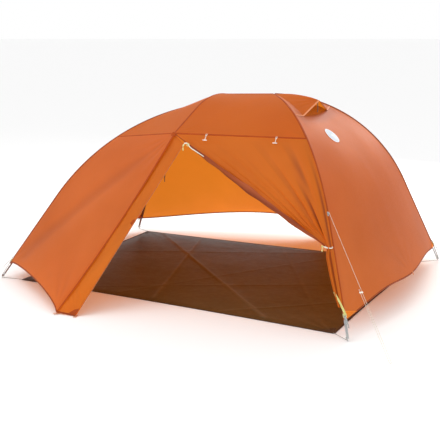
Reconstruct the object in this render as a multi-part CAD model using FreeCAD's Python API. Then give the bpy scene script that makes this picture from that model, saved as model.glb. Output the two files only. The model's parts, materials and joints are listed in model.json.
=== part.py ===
import FreeCAD, Part
import math
import os

# Three-person backpacking tent: hubbed pole frame, rain fly and ground sheet, pitched with no inner tent.
# Frame: origin on the ground under the middle of the ground sheet, +X from foot end to head end,
# -Y towards the side whose door is open, +Z up.  Millimetres.

# ---------------------------------------------------------------- driving dimensions
FLOOR_LENGTH = 2290.0
FLOOR_WIDTH_HEAD = 1780.0
FLOOR_WIDTH_FOOT = 1640.0
FLOOR_THICK = 1.2
FLOOR_HOLLOW = 16.0             # how far each edge of the ground sheet is cut in at its middle

POLE_R = 4.35                   # outside radius of every pole tube
POLE_WALL = 0.75
FABRIC_OFF = 11.0               # from a pole's centre line to the fabric over it
FABRIC_T = 1.2
SEAM_GAP = 0.004                # share of a panel's width left free at each seam

HUB_HEAD = (350.0, 0.0, 1250.0)
HUB_FOOT = (-200.0, 0.0, 1157.0)
RIDGE_SLOPE = -3.4              # degrees, falling from the head hub towards the foot
RIDGE_STRAIGHT = 378.0
HEAD_LEG_RISE = 62.0            # degrees from the ground
HEAD_LEG_STRAIGHT = 690.0
FOOT_LEG_RISE = 54.0
FOOT_LEG_STRAIGHT = 691.0
FEET = {
    "near_head": (1259.0, -978.0),
    "far_head": (1249.0, 994.0),
    "near_foot": (-1300.0, -845.0),
    "far_foot": (-1264.0, 872.0),
}
SECTIONS = ("lower", "middle", "upper")

BROW_X = -55.0
BROW_REACH = 600.0
BROW_TIP_Z = 1035.0
BROW_TOP_Z = 1234.2
BROW_RISE = 24.5                # degrees at each end of the brow pole
BROW_SPLIT = 205.0              # half length of its middle section, along the pole

SHOCK_R = 1.25
CORD_R = 1.0
FLOOR_CORD_R = 1.6              # of the cords that tie the ground sheet's corners to the pole tips
HUB_R = 10.0
HUB_WALL = 1.9                  # of the sleeves that the poles push into
SLIDE_FIT = 0.06                # play between a pole and its sleeve
FERRULE_FIT = 0.05
FERRULE_WALL = 0.75
TIP_R = 3.0
CORNER_S = 122.0                # distance up each leg from the ground to the corner of the fly
SEAM_Z = 1045.0                 # height of the seam below the roof on the head legs
SEAM_Z_FOOT = 956.0

NEAR_STAKE = (-478.0, -1324.0, 14.0)
DOOR_STAKE = (-348.0, -1309.0, 6.0)
FAR_STAKE = (250.0, 1310.0, 10.0)
ZIP_TOP = (20.0, -622.0, 985.0)
TIE_Z = 480.0                   # height of the tie that holds the open door flap
HEAD_TAB = (1334.0, 0.0, 164.0)
FOOT_TAB = (-1322.0, 0.0, 150.0)
HEM_ARCH = 30.0
VENT_PEAK = (674.0, 0.0, 1232.0)
VENT_SIDE = (650.0, 205.0, 1150.0)
GUY_Z = 656.0
GUY_ANCHOR = (1580.0, -1200.0, 3.0)

V = FreeCAD.Vector
UP = V(0, 0, 1)
os.makedirs("parts", exist_ok=True)


def save(name, *solids):
    shape = solids[0] if len(solids) == 1 else Part.makeCompound(list(solids))
    shape.exportStep("parts/" + name + ".step")
    state = "valid" if shape.isValid() else "INVALID"
    print(name, len(shape.Solids), state, round(shape.Volume / 1000.0, 2), "cm3")


def block(length, width, thick, at, along, across):
    """Box centred on a point: length along the first direction, width across it, thickness on the third."""
    along = V(along).normalize()
    across = V(across).normalize()
    up = along.cross(across)
    box = Part.makeBox(length, width, thick, V(-length / 2.0, -width / 2.0, -thick / 2.0))
    turn = FreeCAD.Matrix(along.x, across.x, up.x, at.x, along.y, across.y, up.y, at.y,
                          along.z, across.z, up.z, at.z, 0, 0, 0, 1)
    return box.transformGeometry(turn)


# ---------------------------------------------------------------- pole centre lines
class Route:
    """A straight run and one tangent arc, in the upright plane through two points."""

    def __init__(self, start, end, rise, straight):
        self.start = V(*start)
        end = V(*end)
        flat = V(end.x - self.start.x, end.y - self.start.y, 0)
        self.reach = flat.Length
        self.out = flat / self.reach
        self.rise = math.radians(rise)
        self.straight = straight
        chord_x = self.reach - straight * math.cos(self.rise)
        chord_z = end.z - self.start.z - straight * math.sin(self.rise)
        self.half = self.rise - math.atan2(chord_z, chord_x)
        self.radius = math.hypot(chord_x, chord_z) / (2.0 * math.sin(self.half))
        self.length = straight + 2.0 * self.half * self.radius

    def heading(self, s):
        angle = self.rise - max(0.0, s - self.straight) / self.radius
        return self.out * math.cos(angle) + UP * math.sin(angle)

    def normal(self, s):
        angle = self.rise - max(0.0, s - self.straight) / self.radius
        return UP * math.cos(angle) - self.out * math.sin(angle)

    def point(self, s, off=0.0):
        run = min(s, self.straight)
        at = self.start + self.heading(0) * run
        if s > self.straight:
            at += (self.normal(s) - self.normal(0)) * self.radius
        return at + self.normal(s) * off

    def at_height(self, z, off=0.0):
        low, high = 0.0, self.length
        for _ in range(40):
            mid = (low + high) / 2.0
            if self.point(mid, off).z < z:
                low = mid
            else:
                high = mid
        return low

    def edges(self, s0, s1):
        found = []
        if s0 < self.straight - 0.01:
            found.append(Part.LineSegment(self.point(s0), self.point(min(s1, self.straight))).toShape())
        if s1 > self.straight + 0.01:
            a = max(s0, self.straight)
            found.append(Part.Arc(self.point(a), self.point((a + s1) / 2.0), self.point(s1)).toShape())
        return found


def rod(route, s0, s1, radius):
    ring = Part.Wire([Part.Circle(route.point(s0), route.heading(s0), radius).toShape()])
    return Part.Wire(route.edges(s0, s1)).makePipeShell([ring], True, False)


def tube(route, s0, s1, outer, inner):
    return rod(route, s0, s1, outer).cut(rod(route, s0 - 1.0, s1 + 1.0, inner))


LEGS = {}
for leg_name, foot in FEET.items():
    at_head = leg_name.endswith("head")
    LEGS[leg_name] = Route(
        (foot[0], foot[1], 0.0),
        HUB_HEAD if at_head else HUB_FOOT,
        HEAD_LEG_RISE if at_head else FOOT_LEG_RISE,
        HEAD_LEG_STRAIGHT if at_head else FOOT_LEG_STRAIGHT,
    )
RIDGE = Route(HUB_HEAD, HUB_FOOT, RIDGE_SLOPE, RIDGE_STRAIGHT)

brow_sin = math.sin(math.radians(BROW_RISE))
brow_cos = math.cos(math.radians(BROW_RISE))
brow_tan = brow_sin / brow_cos
brow_fall = BROW_REACH * brow_tan - (BROW_TOP_Z - BROW_TIP_Z)
brow_radius = brow_fall / (brow_sin * brow_tan - 1.0 + brow_cos)
BROW_STRAIGHT = (BROW_REACH - brow_radius * brow_sin) / brow_cos
BROW = {
    side: Route((BROW_X, sign * BROW_REACH, BROW_TIP_Z), (BROW_X, 0.0, BROW_TOP_Z), BROW_RISE, BROW_STRAIGHT)
    for side, sign in (("near", -1.0), ("far", 1.0))
}


# ---------------------------------------------------------------- pole frame
def make_hub(name, centre, routes_and_ends):
    body = Part.makeSphere(HUB_R, V(*centre))
    for route, s0, s1 in routes_and_ends:
        body = body.fuse(rod(route, s0, s1, POLE_R + HUB_WALL))
    for route, s0, s1 in routes_and_ends:
        low, high = (s0 - 5.0, s1) if s0 > route.length / 2.0 else (s0, s1 + 5.0)
        socket = HUB_R + 1.5
        if s0 > route.length / 2.0:
            body = body.cut(rod(route, low, route.length - socket, POLE_R + SLIDE_FIT))
        else:
            body = body.cut(rod(route, socket, high, POLE_R + SLIDE_FIT))
    save(name, body)


SOCKET = 52.0
END_GAP = HUB_R + 2.0
make_hub("hub_head", HUB_HEAD, [
    (LEGS["near_head"], LEGS["near_head"].length - SOCKET, LEGS["near_head"].length),
    (LEGS["far_head"], LEGS["far_head"].length - SOCKET, LEGS["far_head"].length),
    (RIDGE, 0.0, SOCKET),
])
make_hub("hub_foot", HUB_FOOT, [
    (LEGS["near_foot"], LEGS["near_foot"].length - SOCKET, LEGS["near_foot"].length),
    (LEGS["far_foot"], LEGS["far_foot"].length - SOCKET, LEGS["far_foot"].length),
    (RIDGE, RIDGE.length - SOCKET, RIDGE.length),
])

BORE_R = POLE_R - POLE_WALL
FERRULE_R = BORE_R - FERRULE_FIT
FERRULE_BORE = FERRULE_R - FERRULE_WALL
SECTION_GAP = 0.4
save("ridge_pole", tube(RIDGE, END_GAP, RIDGE.length - END_GAP, POLE_R, BORE_R))

TIP_LENGTH = 42.0
COLLAR_R = 5.6
COLLAR_LENGTH = 6.0
FERRULE_HALF = 32.0
ferrules = []
cords = []
for leg_name, leg in LEGS.items():
    first = TIP_LENGTH
    last = leg.length - END_GAP
    step = (last - first) / len(SECTIONS)
    for i, section in enumerate(SECTIONS):
        a = first + i * step
        b = a + step - SECTION_GAP
        save("leg_" + leg_name + "_" + section, tube(leg, a, b, POLE_R, BORE_R))
        if i:
            ferrules.append(tube(leg, a - FERRULE_HALF, a + FERRULE_HALF, FERRULE_R, FERRULE_BORE))
    cords.append(rod(leg, TIP_LENGTH - 12.0, last, SHOCK_R))

    # Foot of the leg: a plastic cone that narrows to a ball, with a spigot up inside the tube.
    ball_s = TIP_R / math.sin(leg.rise)
    ball = Part.makeSphere(TIP_R, leg.point(ball_s))
    cone_length = TIP_LENGTH - SECTION_GAP - ball_s - COLLAR_LENGTH
    cone = Part.makeCone(TIP_R, COLLAR_R, cone_length, leg.point(ball_s), leg.heading(0))
    collar_s = TIP_LENGTH - SECTION_GAP - COLLAR_LENGTH
    collar = Part.makeCylinder(COLLAR_R, COLLAR_LENGTH, leg.point(collar_s), leg.heading(0))
    spigot = Part.makeCylinder(FERRULE_R, 24.0, leg.point(TIP_LENGTH - 0.5), leg.heading(0))
    neck = Part.makeCylinder(7.4, 3.0, leg.point(20.0), leg.heading(0))
    hollow = Part.makeCylinder(SHOCK_R, 40.0, leg.point(TIP_LENGTH - 12.0), leg.heading(0))
    save("pole_tip_" + leg_name, ball.fuse([cone, collar, spigot, neck]).cut(hollow))
cords.append(rod(RIDGE, END_GAP, RIDGE.length - END_GAP, SHOCK_R))
save("leg_ferrules", *ferrules)

brow_tubes = {}
brow_ferrules = []
brow_caps = []
for side, route in BROW.items():
    top = route.length
    save("brow_pole_" + side, tube(route, 0.0, top - BROW_SPLIT - SECTION_GAP, POLE_R, BORE_R))
    brow_ferrules.append(tube(route, top - BROW_SPLIT - FERRULE_HALF, top - BROW_SPLIT + FERRULE_HALF,
                              FERRULE_R, FERRULE_BORE))
    brow_tubes[side] = tube(route, top - BROW_SPLIT, top, POLE_R, BORE_R)
    cords.append(rod(route, 0.0, top, SHOCK_R))
    cap = Part.makeCylinder(POLE_R + 1.3, 16.0, route.point(0) - route.heading(0) * 3.0, route.heading(0))
    cap = cap.cut(Part.makeCylinder(POLE_R + 0.02, 20.0, route.point(0), route.heading(0)))
    brow_caps.append(cap)
save("brow_pole_middle", brow_tubes["near"].fuse(brow_tubes["far"]).removeSplitter())
save("brow_ferrules", *brow_ferrules)
save("brow_end_caps", *brow_caps)
save("shock_cords", *cords)

# Swivel where the brow pole lies across the ridge pole: two saddles, one clipped round each pole.
CLIP_R = POLE_R + 1.6
CLIP_LENGTH = 26.0
ridge_s = (HUB_HEAD[0] - BROW_X) / math.cos(RIDGE.rise)
low = RIDGE.point(ridge_s)
along = RIDGE.heading(ridge_s)
swivel = Part.makeCylinder(CLIP_R, CLIP_LENGTH, low - along * CLIP_LENGTH / 2.0, along)
upper_clip_at = V(low.x, -CLIP_LENGTH / 2.0, BROW_TOP_Z)
swivel = swivel.fuse(Part.makeCylinder(CLIP_R, CLIP_LENGTH, upper_clip_at, V(0, 1, 0)))
swivel = swivel.fuse(Part.makeCylinder(4.0, BROW_TOP_Z - low.z, low, UP))
swivel = swivel.cut(rod(RIDGE, ridge_s - CLIP_LENGTH, ridge_s + CLIP_LENGTH, POLE_R + 0.04))
for route in BROW.values():
    swivel = swivel.cut(rod(route, route.length - CLIP_LENGTH, route.length, POLE_R + 0.04))
save("brow_swivel", swivel)


# ---------------------------------------------------------------- fly panels
def mix(a, b, t):
    return a + (b - a) * t


def line(a, b):
    return lambda t: mix(a, b, t)


def leg_line(leg, s0, s1):
    return lambda t: leg.point(s0 + (s1 - s0) * t, FABRIC_OFF)


def cut_hem(a, b, rise, early, late):
    """A hem that is cut in an arch: straight in plan, lifted between its two ends."""
    return lambda t: mix(a, b, t) + UP * (rise * t ** early * (1.0 - t) ** late)


def bowed(a, b, push):
    return lambda t: mix(a, b, t) + push * (4.0 * t * (1.0 - t))


def tab_hem(a, b, tab):
    """Hem of an end panel: pushed out to the tab at its middle, and cut in an arch on each side of it."""
    push = V(*tab) - (a + b) / 2.0
    return lambda t: (mix(a, b, t) + push * (1.0 - abs(2.0 * t - 1.0) ** 1.5)
                      + UP * (HEM_ARCH * math.sin(2.0 * math.pi * t) ** 2))


def panel(top, bottom, left, right, inward, bulge=0.0, rows=11):
    """Coons patch between four edges, swollen by bulge along its inward direction, made FABRIC_T thick."""
    inward = V(inward).normalize()
    corners = (top(0.0), top(1.0), bottom(0.0), bottom(1.0))
    grid = []
    for j in range(rows):
        v = SEAM_GAP + (1.0 - 2.0 * SEAM_GAP) * j / (rows - 1.0)
        row = []
        for i in range(rows):
            u = SEAM_GAP + (1.0 - 2.0 * SEAM_GAP) * i / (rows - 1.0)
            at = mix(top(u), bottom(u), v) + mix(left(v), right(v), u)
            at -= mix(mix(corners[0], corners[1], u), mix(corners[2], corners[3], u), v)
            row.append(at + inward * (bulge * 16.0 * u * (1.0 - u) * v * (1.0 - v)))
        grid.append(row)
    surface = Part.BSplineSurface()
    surface.interpolate(grid)
    return surface.toShape().extrude(inward * FABRIC_T)


CORNERS = {name: leg.point(CORNER_S, FABRIC_OFF) for name, leg in LEGS.items()}
TOPS = {name: leg.length for name, leg in LEGS.items()}
SEAM_S = {name: leg.at_height(SEAM_Z if name.endswith("head") else SEAM_Z_FOOT, FABRIC_OFF)
          for name, leg in LEGS.items()}
SEAMS = {name: LEGS[name].point(s, FABRIC_OFF) for name, s in SEAM_S.items()}
ROOF_HEAD = V(HUB_HEAD[0], 0, HUB_HEAD[2] + FABRIC_OFF + 1.0)
ROOF_BROW = V(BROW_X, 0, BROW_TOP_Z + FABRIC_OFF)
BROW_TIPS = {side: V(BROW_X, sign * (BROW_REACH + 6.0), BROW_TIP_Z + FABRIC_OFF - 2.0)
             for side, sign in (("near", -1.0), ("far", 1.0))}


def brow_line(side):
    route = BROW[side]
    return lambda t: mix(BROW_TIPS[side], route.point(0.0, FABRIC_OFF), min(1.0, t * 12.0)) if t < 1 / 12.0 \
        else route.point(route.length * (t - 1 / 12.0) / (11 / 12.0), FABRIC_OFF)


def ridge_to_foot(t):
    """Fabric along the bent end of the ridge pole, let down from the top of the brow pole."""
    at = RIDGE.point(mix(ridge_s, RIDGE.length, t), FABRIC_OFF)
    return at + (ROOF_BROW - RIDGE.point(ridge_s, FABRIC_OFF)) * (1.0 - t) ** 3


def roof_half(end, side):
    """Roof between the brow pole and the legs of one end, on one side of the ridge."""
    name = side + "_" + end
    seam = line(BROW_TIPS[side], SEAMS[name])
    if end == "head":
        ridge = line(ROOF_BROW, ROOF_HEAD)
    else:
        ridge = ridge_to_foot
    leg = leg_line(LEGS[name], SEAM_S[name], TOPS[name])
    return panel(seam, ridge, brow_line(side), leg, V(0, 0, -1), 9.0)


for end in ("head", "foot"):
    save("fly_roof_" + end, roof_half(end, "near"), roof_half(end, "far"))

# End panels.  The head panel stops below the vent; the hood over the vent reaches out to its peak.
VENT_S = {name: LEGS[name].at_height(1168.0, FABRIC_OFF) for name in ("near_head", "far_head")}
VENT_ENDS = {name: LEGS[name].point(s, FABRIC_OFF) for name, s in VENT_S.items()}
NARROW = 24.0                   # how far from the hub the two end panels begin


def vent_lip(t):
    """Free edge of the hood: along each side of the vent, then up to the peak in the middle."""
    side = -1.0 if t < 0.5 else 1.0
    name = "near_head" if t < 0.5 else "far_head"
    near_end = V(VENT_SIDE[0], side * VENT_SIDE[1], VENT_SIDE[2])
    w = 2.0 * t if t < 0.5 else 2.0 - 2.0 * t
    if w < 0.3:
        return mix(VENT_ENDS[name], near_end, w / 0.3)
    return mix(near_end, V(*VENT_PEAK), (w - 0.3) / 0.7)


def vent_sill(t):
    """Top edge of the head panel, hanging in a shallow curve below the hood's free edge."""
    drop = 4.0 * t * (1.0 - t)
    return mix(VENT_ENDS["near_head"], VENT_ENDS["far_head"], t) + V(26.0, 0, -34.0) * drop - UP * 6.0


def near_hub(end):
    """Top edge of an end panel, across the hub between the two legs of that end."""
    a = LEGS["near_" + end].point(TOPS["near_" + end] - NARROW, FABRIC_OFF)
    b = LEGS["far_" + end].point(TOPS["far_" + end] - NARROW, FABRIC_OFF)
    return line(a, b)


save("vent_hood", panel(
    near_hub("head"), vent_lip,
    leg_line(LEGS["near_head"], TOPS["near_head"] - NARROW, VENT_S["near_head"]),
    leg_line(LEGS["far_head"], TOPS["far_head"] - NARROW, VENT_S["far_head"]), V(0, 0, -1)))
save("fly_head_panel", panel(
    vent_sill, tab_hem(CORNERS["near_head"], CORNERS["far_head"], HEAD_TAB),
    leg_line(LEGS["near_head"], VENT_S["near_head"], CORNER_S),
    leg_line(LEGS["far_head"], VENT_S["far_head"], CORNER_S), V(-1, 0, 0), 10.0))
save("fly_foot_panel", panel(
    near_hub("foot"), tab_hem(CORNERS["near_foot"], CORNERS["far_foot"], FOOT_TAB),
    leg_line(LEGS["near_foot"], TOPS["near_foot"] - NARROW, CORNER_S),
    leg_line(LEGS["far_foot"], TOPS["far_foot"] - NARROW, CORNER_S), V(1, 0, -0.6), 12.0))

# Near side: closed half of the vestibule, the storm flap along its zip, and the open flap tied to the leg.
save("vestibule_near", panel(
    line(SEAMS["near_foot"], BROW_TIPS["near"]),
    cut_hem(CORNERS["near_foot"], V(*NEAR_STAKE), 150.0, 0.7, 0.45),
    leg_line(LEGS["near_foot"], SEAM_S["near_foot"], CORNER_S),
    bowed(BROW_TIPS["near"], V(*NEAR_STAKE), V(0, 0, -38.0)), V(0.2, 1, -0.3), 14.0))
save("storm_flap", panel(
    line(BROW_TIPS["near"] + V(6, 2, -6), V(*ZIP_TOP)),
    line(V(*NEAR_STAKE) + V(4, 0, 0), V(*DOOR_STAKE)),
    bowed(BROW_TIPS["near"] + V(6, 2, -6), V(*NEAR_STAKE) + V(4, 0, 0), V(0, 0, -38.0)),
    line(V(*ZIP_TOP), V(*DOOR_STAKE)), V(0.2, 1, -0.3)))


# The open half of the door hangs from its seam, is drawn to the tie on the leg, and ends as a narrow tail.
near_leg = LEGS["near_head"]
TIE_S = near_leg.at_height(TIE_Z, FABRIC_OFF)
DOOR_IN = V(-4.0, -13.0, 0.0)   # the flap lies on the outer side of the leg's seam
DOOR_WIDE = V(-40.0, -4.0, 6.0)
FLAP_CORNER = 0.08              # share of the flap's inner edge that lies above the zip's end
tie = near_leg.point(TIE_S, FABRIC_OFF) + DOOR_IN
tie_inner = tie + DOOR_WIDE
flap_top = line(BROW_TIPS["near"] + V(10, -4, -5), SEAMS["near_head"] + V(-4, -10, -5))
flap_zip = V(*ZIP_TOP) + V(34.0, -3.0, 0.0)
flap_slack = bowed(flap_zip, tie_inner, V(0, 0, 8))


def flap_inner_edge(t):
    if t < FLAP_CORNER:
        return mix(flap_top(0.0), flap_zip, t / FLAP_CORNER)
    return flap_slack((t - FLAP_CORNER) / (1.0 - FLAP_CORNER))


def flap_leg(t):
    leg_run = near_leg.point(mix(SEAM_S["near_head"], TIE_S, t), FABRIC_OFF)
    return mix(flap_top(1.0), tie, t) + leg_run - mix(SEAMS["near_head"], tie - DOOR_IN, t)


door_flap = panel(flap_top, line(tie_inner, tie), flap_inner_edge, flap_leg, V(0.1, 1, 0.1), 0.0, 14)
TAIL_S = CORNER_S + 72.0
tail_end = near_leg.point(TAIL_S, FABRIC_OFF) + DOOR_IN
door_tail = panel(
    line(tie_inner, tie), line(tail_end + DOOR_WIDE * 0.4, tail_end),
    bowed(tie_inner, tail_end + DOOR_WIDE * 0.4, V(-10, 0, 0)), line(tie, tail_end), V(0.1, 1, 0.1))
save("door_flap", door_flap, door_tail)

# Far side: the whole vestibule is closed.
far_zip = (BROW_TIPS["far"], V(*FAR_STAKE))
save("vestibule_far",
     panel(line(SEAMS["far_foot"], BROW_TIPS["far"]),
           cut_hem(CORNERS["far_foot"], V(*FAR_STAKE), 390.0, 1.2, 0.45),
           leg_line(LEGS["far_foot"], SEAM_S["far_foot"], CORNER_S), line(*far_zip), V(0, -1, -0.3), 12.0),
     panel(line(SEAMS["far_head"], BROW_TIPS["far"]),
           cut_hem(CORNERS["far_head"], V(*FAR_STAKE), 150.0, 0.7, 0.45),
           leg_line(LEGS["far_head"], SEAM_S["far_head"], CORNER_S), line(*far_zip), V(0, -1, -0.3), 12.0))

# ---------------------------------------------------------------- ground sheet
half_length = FLOOR_LENGTH / 2.0
floor_corners = [
    V(-half_length, -FLOOR_WIDTH_FOOT / 2.0, 0), V(half_length, -FLOOR_WIDTH_HEAD / 2.0, 0),
    V(half_length, FLOOR_WIDTH_HEAD / 2.0, 0), V(-half_length, FLOOR_WIDTH_FOOT / 2.0, 0),
]
floor_edges = []
for i, a in enumerate(floor_corners):
    b = floor_corners[(i + 1) % 4]
    middle = (a + b) / 2.0
    middle -= V(middle).normalize() * FLOOR_HOLLOW
    floor_edges.append(Part.Arc(a, middle, b).toShape())
save("footprint", Part.Face(Part.Wire(floor_edges)).extrude(UP * FLOOR_THICK))

# ---------------------------------------------------------------- corners: straps, adjusters and cords
STRAP_WIDTH = 16.0
STRAP_T = 1.2
STRAP_LOW = (18.0, 8.6)         # lower end of each strap: up the leg, and out from the pole's centre line
STRAP_HIGH = (170.0, 18.0)      # upper end, outside the fly
ADJUST_LENGTH = 22.0
ADJUST_AT = 126.0               # middle of each adjuster, up its strap
NECK_S = 18.0                   # where the strap's lower loop goes round the pole tip
CORD_STANDS_OFF = 9.5           # the ground-sheet cords end just outside the pole tips

straps = []
floor_cords = []
corners_by_leg = (floor_corners[1], floor_corners[2], floor_corners[0], floor_corners[3])
for (leg_name, leg), corner in zip(LEGS.items(), corners_by_leg):
    low = leg.point(*STRAP_LOW)
    rise = leg.point(*STRAP_HIGH) - low
    across = rise.cross(leg.normal(0))
    strap = block(rise.Length, STRAP_WIDTH, STRAP_T, low + rise / 2.0, rise, across)
    straps.append(strap.cut(Part.makeCylinder(7.8, 6.0, leg.point(NECK_S), leg.heading(0))))
    adjuster_at = low + rise / rise.Length * ADJUST_AT
    frame = block(ADJUST_LENGTH, STRAP_WIDTH + 7.0, 4.6, adjuster_at, rise, across)
    slot = block(ADJUST_LENGTH + 10.0, STRAP_WIDTH + 1.2, STRAP_T + 1.2, adjuster_at, rise, across)
    window_at = adjuster_at + leg.normal(0) * 4.0
    window = block(ADJUST_LENGTH - 10.0, STRAP_WIDTH - 3.0, 12.0, window_at, rise, across)
    print("strap", leg_name, rise / rise.Length)
    save("strap_adjuster_" + leg_name, frame.cut(slot).cut(window))
    start = corner * 0.994 + UP * (FLOOR_THICK + FLOOR_CORD_R + 0.1)
    finish = leg.point(0.0) + leg.out * CORD_STANDS_OFF + UP * (start.z + 1.2)
    reach = finish - start
    floor_cords.append(Part.makeCylinder(FLOOR_CORD_R, reach.Length, start, reach))
save("corner_straps", *straps)
save("footprint_cords", *floor_cords)

# ---------------------------------------------------------------- stake-out tabs, each with a metal eyelet
EYELET_R = 5.0
EYELET_RIM = 8.5
EYELET_T = 2.4
EYELET_OUT = 9.0                # middle of the eyelet, out from the corner
TAB_T = 1.4


def stake_tab(at, out, z):
    """Webbing tab sewn under a corner of the hem, with an eyelet that a stake goes down through."""
    out = V(out.x, out.y, 0).normalize()
    side = V(-out.y, out.x, 0)
    half_outline = ((-20.0, 9.0), (13.0, 11.0), (19.0, 5.0))     # along the tab, and half its width there
    ring = [at + out * reach + side * half for reach, half in half_outline]
    ring += [at + out * reach - side * half for reach, half in reversed(half_outline)]
    ring = [V(p.x, p.y, z) for p in ring]
    eye = at + out * EYELET_OUT
    eye.z = z - (EYELET_T - TAB_T) / 2.0
    tab = Part.Face(Part.makePolygon(ring + ring[:1])).extrude(UP * TAB_T)
    tab = tab.fuse(Part.makeCylinder(EYELET_RIM, EYELET_T, eye))
    tab = tab.cut(Part.makeCylinder(EYELET_R, 12.0, eye - UP * 4.0))
    print("eyelet", round(eye.x, 3), round(eye.y, 3), round(eye.z + EYELET_T / 2.0, 3))
    return tab


save("stake_tabs",
     stake_tab(V(*NEAR_STAKE), V(-0.45, -1, 0), 6.0),
     stake_tab(V(*DOOR_STAKE), V(0.25, -1, 0), 1.5),
     stake_tab(V(*FAR_STAKE), V(0.1, 1, 0), 5.0))

# ---------------------------------------------------------------- zip: coil, slider and pull
zip_a = V(*ZIP_TOP)
zip_b = V(*DOOR_STAKE)
zip_run = (zip_b - zip_a).normalize()
zip_side = zip_run.cross(V(0.2, 1, -0.3)).normalize()       # across the zip, away from the storm flap
zip_out = zip_run.cross(zip_side)                            # out of the fabric
COIL_R = 1.6
COIL_GAP = 3.2
COIL_SHORT = 60.0
SLIDER = (13.0, 10.0, 7.0)
PARKED = 10.0                   # slider's middle below the top of the coil
PIN_R = 1.04
PULL_LENGTH = 16.0
coil_start = zip_a + zip_side * COIL_GAP
save("zip_coil", Part.makeCylinder(COIL_R, (zip_b - zip_a).Length - COIL_SHORT, coil_start, zip_run))

slider_at = coil_start + zip_run * PARKED + zip_side * 2.4
slider = block(*SLIDER, slider_at, zip_run, zip_side)
slider = slider.cut(Part.makeCylinder(COIL_R + 0.35, 40.0, coil_start - zip_run * 4.0, zip_run))
slider = slider.cut(block(40.0, 8.0, 2.4, slider_at - zip_side * 5.4, zip_run, zip_side))
pin_at = slider_at + zip_run * 8.8 + zip_side * 4.5 + zip_out * 3.0
lug = Part.makeCylinder(2.6, 2.4, pin_at - zip_side * 1.2, zip_side)
lug = lug.cut(Part.makeCylinder(PIN_R + 0.08, 6.0, pin_at - zip_side * 3.0, zip_side))
save("zip_slider", slider.fuse(lug))
print("zip pivot", pin_at, "axis", zip_side, "run", zip_run)

# The pull hangs from the slider's lug: a pin between two arms, and a flat tongue below them.
pull_parts = []
for way in (-3.1, 3.1):
    pull_parts.append(block(1.6, 2.2, 13.0, pin_at + zip_side * way - UP * 5.6, V(1, 0, 0), V(0, 1, 0)))
tongue_at = pin_at - UP * (11.0 + PULL_LENGTH / 2.0)
pull_parts.append(block(8.6, 2.6, PULL_LENGTH, tongue_at, V(1, 0, 0), V(0, 1, 0)))
save("zip_pull", Part.makeCylinder(PIN_R, 7.4, pin_at - zip_side * 3.7, zip_side).fuse(pull_parts))

# ---------------------------------------------------------------- guyline
guy_s = near_leg.at_height(GUY_Z, FABRIC_OFF)
GUY_LOOP_R = 7.0


def guy_loop(leg):
    """Small flat webbing loop sewn into the seam over a leg."""
    s = leg.at_height(GUY_Z, FABRIC_OFF)
    at = leg.point(s, FABRIC_OFF + 10.5)
    side = leg.heading(s).cross(leg.normal(s))
    loop = Part.makeCylinder(GUY_LOOP_R + 1.5, 4.0, at - side * 2.0, side)
    return loop.cut(Part.makeCylinder(GUY_LOOP_R - 1.0, 8.0, at - side * 4.0, side))


save("guy_loops", *[guy_loop(leg) for leg in LEGS.values()])


def cord(name, points, radius):
    """Tube along straight runs joined by tangent arcs as large as the runs allow."""
    points = [V(*p) for p in points]
    edges = []
    at = points[0]
    radii = []
    for before, corner, after in zip(points, points[1:], points[2:]):
        a, b = corner - before, after - corner
        cut = 0.45 * min(a.Length, b.Length)
        turn = a.getAngle(b)
        radii.append(round(cut / math.tan(turn / 2.0), 1))
        a.normalize()
        b.normalize()
        start, end = corner - a * cut, corner + b * cut
        bend = (b - a).normalize()
        middle = corner + bend * (cut / math.tan(turn / 2.0)) * (1.0 / math.cos(turn / 2.0) - 1.0)
        edges.append(Part.LineSegment(at, start).toShape())
        edges.append(Part.Arc(start, middle, end).toShape())
        at = end
    edges.append(Part.LineSegment(at, points[-1]).toShape())
    total = sum(e.Length for e in edges)
    ring = Part.Wire([Part.Circle(points[0], points[1] - points[0], radius).toShape()])
    shape = Part.Wire(edges).makePipeShell([ring], True, False)
    print(name, "radii", radii, "length", round(total, 1), "volume ratio",
          round(shape.Volume / (total * math.pi * radius ** 2), 4))
    return shape


guy_top = near_leg.point(guy_s, FABRIC_OFF + 20.5)
guy_end = V(*GUY_ANCHOR)
guy_run = (guy_end - guy_top).normalize()
guy_side = guy_run.cross(UP).normalize()
GUY_SPREAD = 12.0
TENSIONER_AT = 534.0            # down the line from the fly
KNOT_UP = 14.0
guy_points = [
    guy_top,
    guy_end - guy_run * 10.0,
    guy_end + guy_side * (GUY_SPREAD * 0.15),
    guy_end + guy_side * (GUY_SPREAD * 0.85),
    guy_end + guy_side * GUY_SPREAD - guy_run * 10.0,
    guy_top + guy_run * (TENSIONER_AT - KNOT_UP) + guy_side * GUY_SPREAD,
]
save("guyline", cord("guyline", guy_points, CORD_R))
for p in guy_points:
    print("guy point", [round(c, 1) for c in p])
knot_at = guy_points[-1] - guy_run * 2.6
save("guyline_knot", Part.makeSphere(3.0, knot_at))

tensioner_at = guy_top + guy_run * TENSIONER_AT + guy_side * (GUY_SPREAD / 2.0)
tensioner = block(8.0, GUY_SPREAD + 10.0, 7.0, tensioner_at, guy_run, guy_side)
for offset in (0.0, GUY_SPREAD):
    hole_at = guy_top + guy_run * (TENSIONER_AT - 20.0) + guy_side * offset
    tensioner = tensioner.cut(Part.makeCylinder(CORD_R + 0.05, 40.0, hole_at, guy_run))
save("guyline_tensioner", tensioner)

# ---------------------------------------------------------------- toggles for the rolled door
TOGGLE_R = 2.8
ROOF_TOGGLES = {"foot": 0.26, "head": 0.786}     # share of the way along the roof seam
near_seam = line(BROW_TIPS["near"], SEAMS["near_head"])
seam_along = (SEAMS["near_head"] - BROW_TIPS["near"]).normalize()
FLAP_SLOPE = V(0, -0.6, -0.8)   # down the outside of the open flap
FLAP_FACE = V(0, -0.8, 0.6)
INNER_TOGGLE = V(-62.0, -722.0, 787.0)
loops = []


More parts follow.
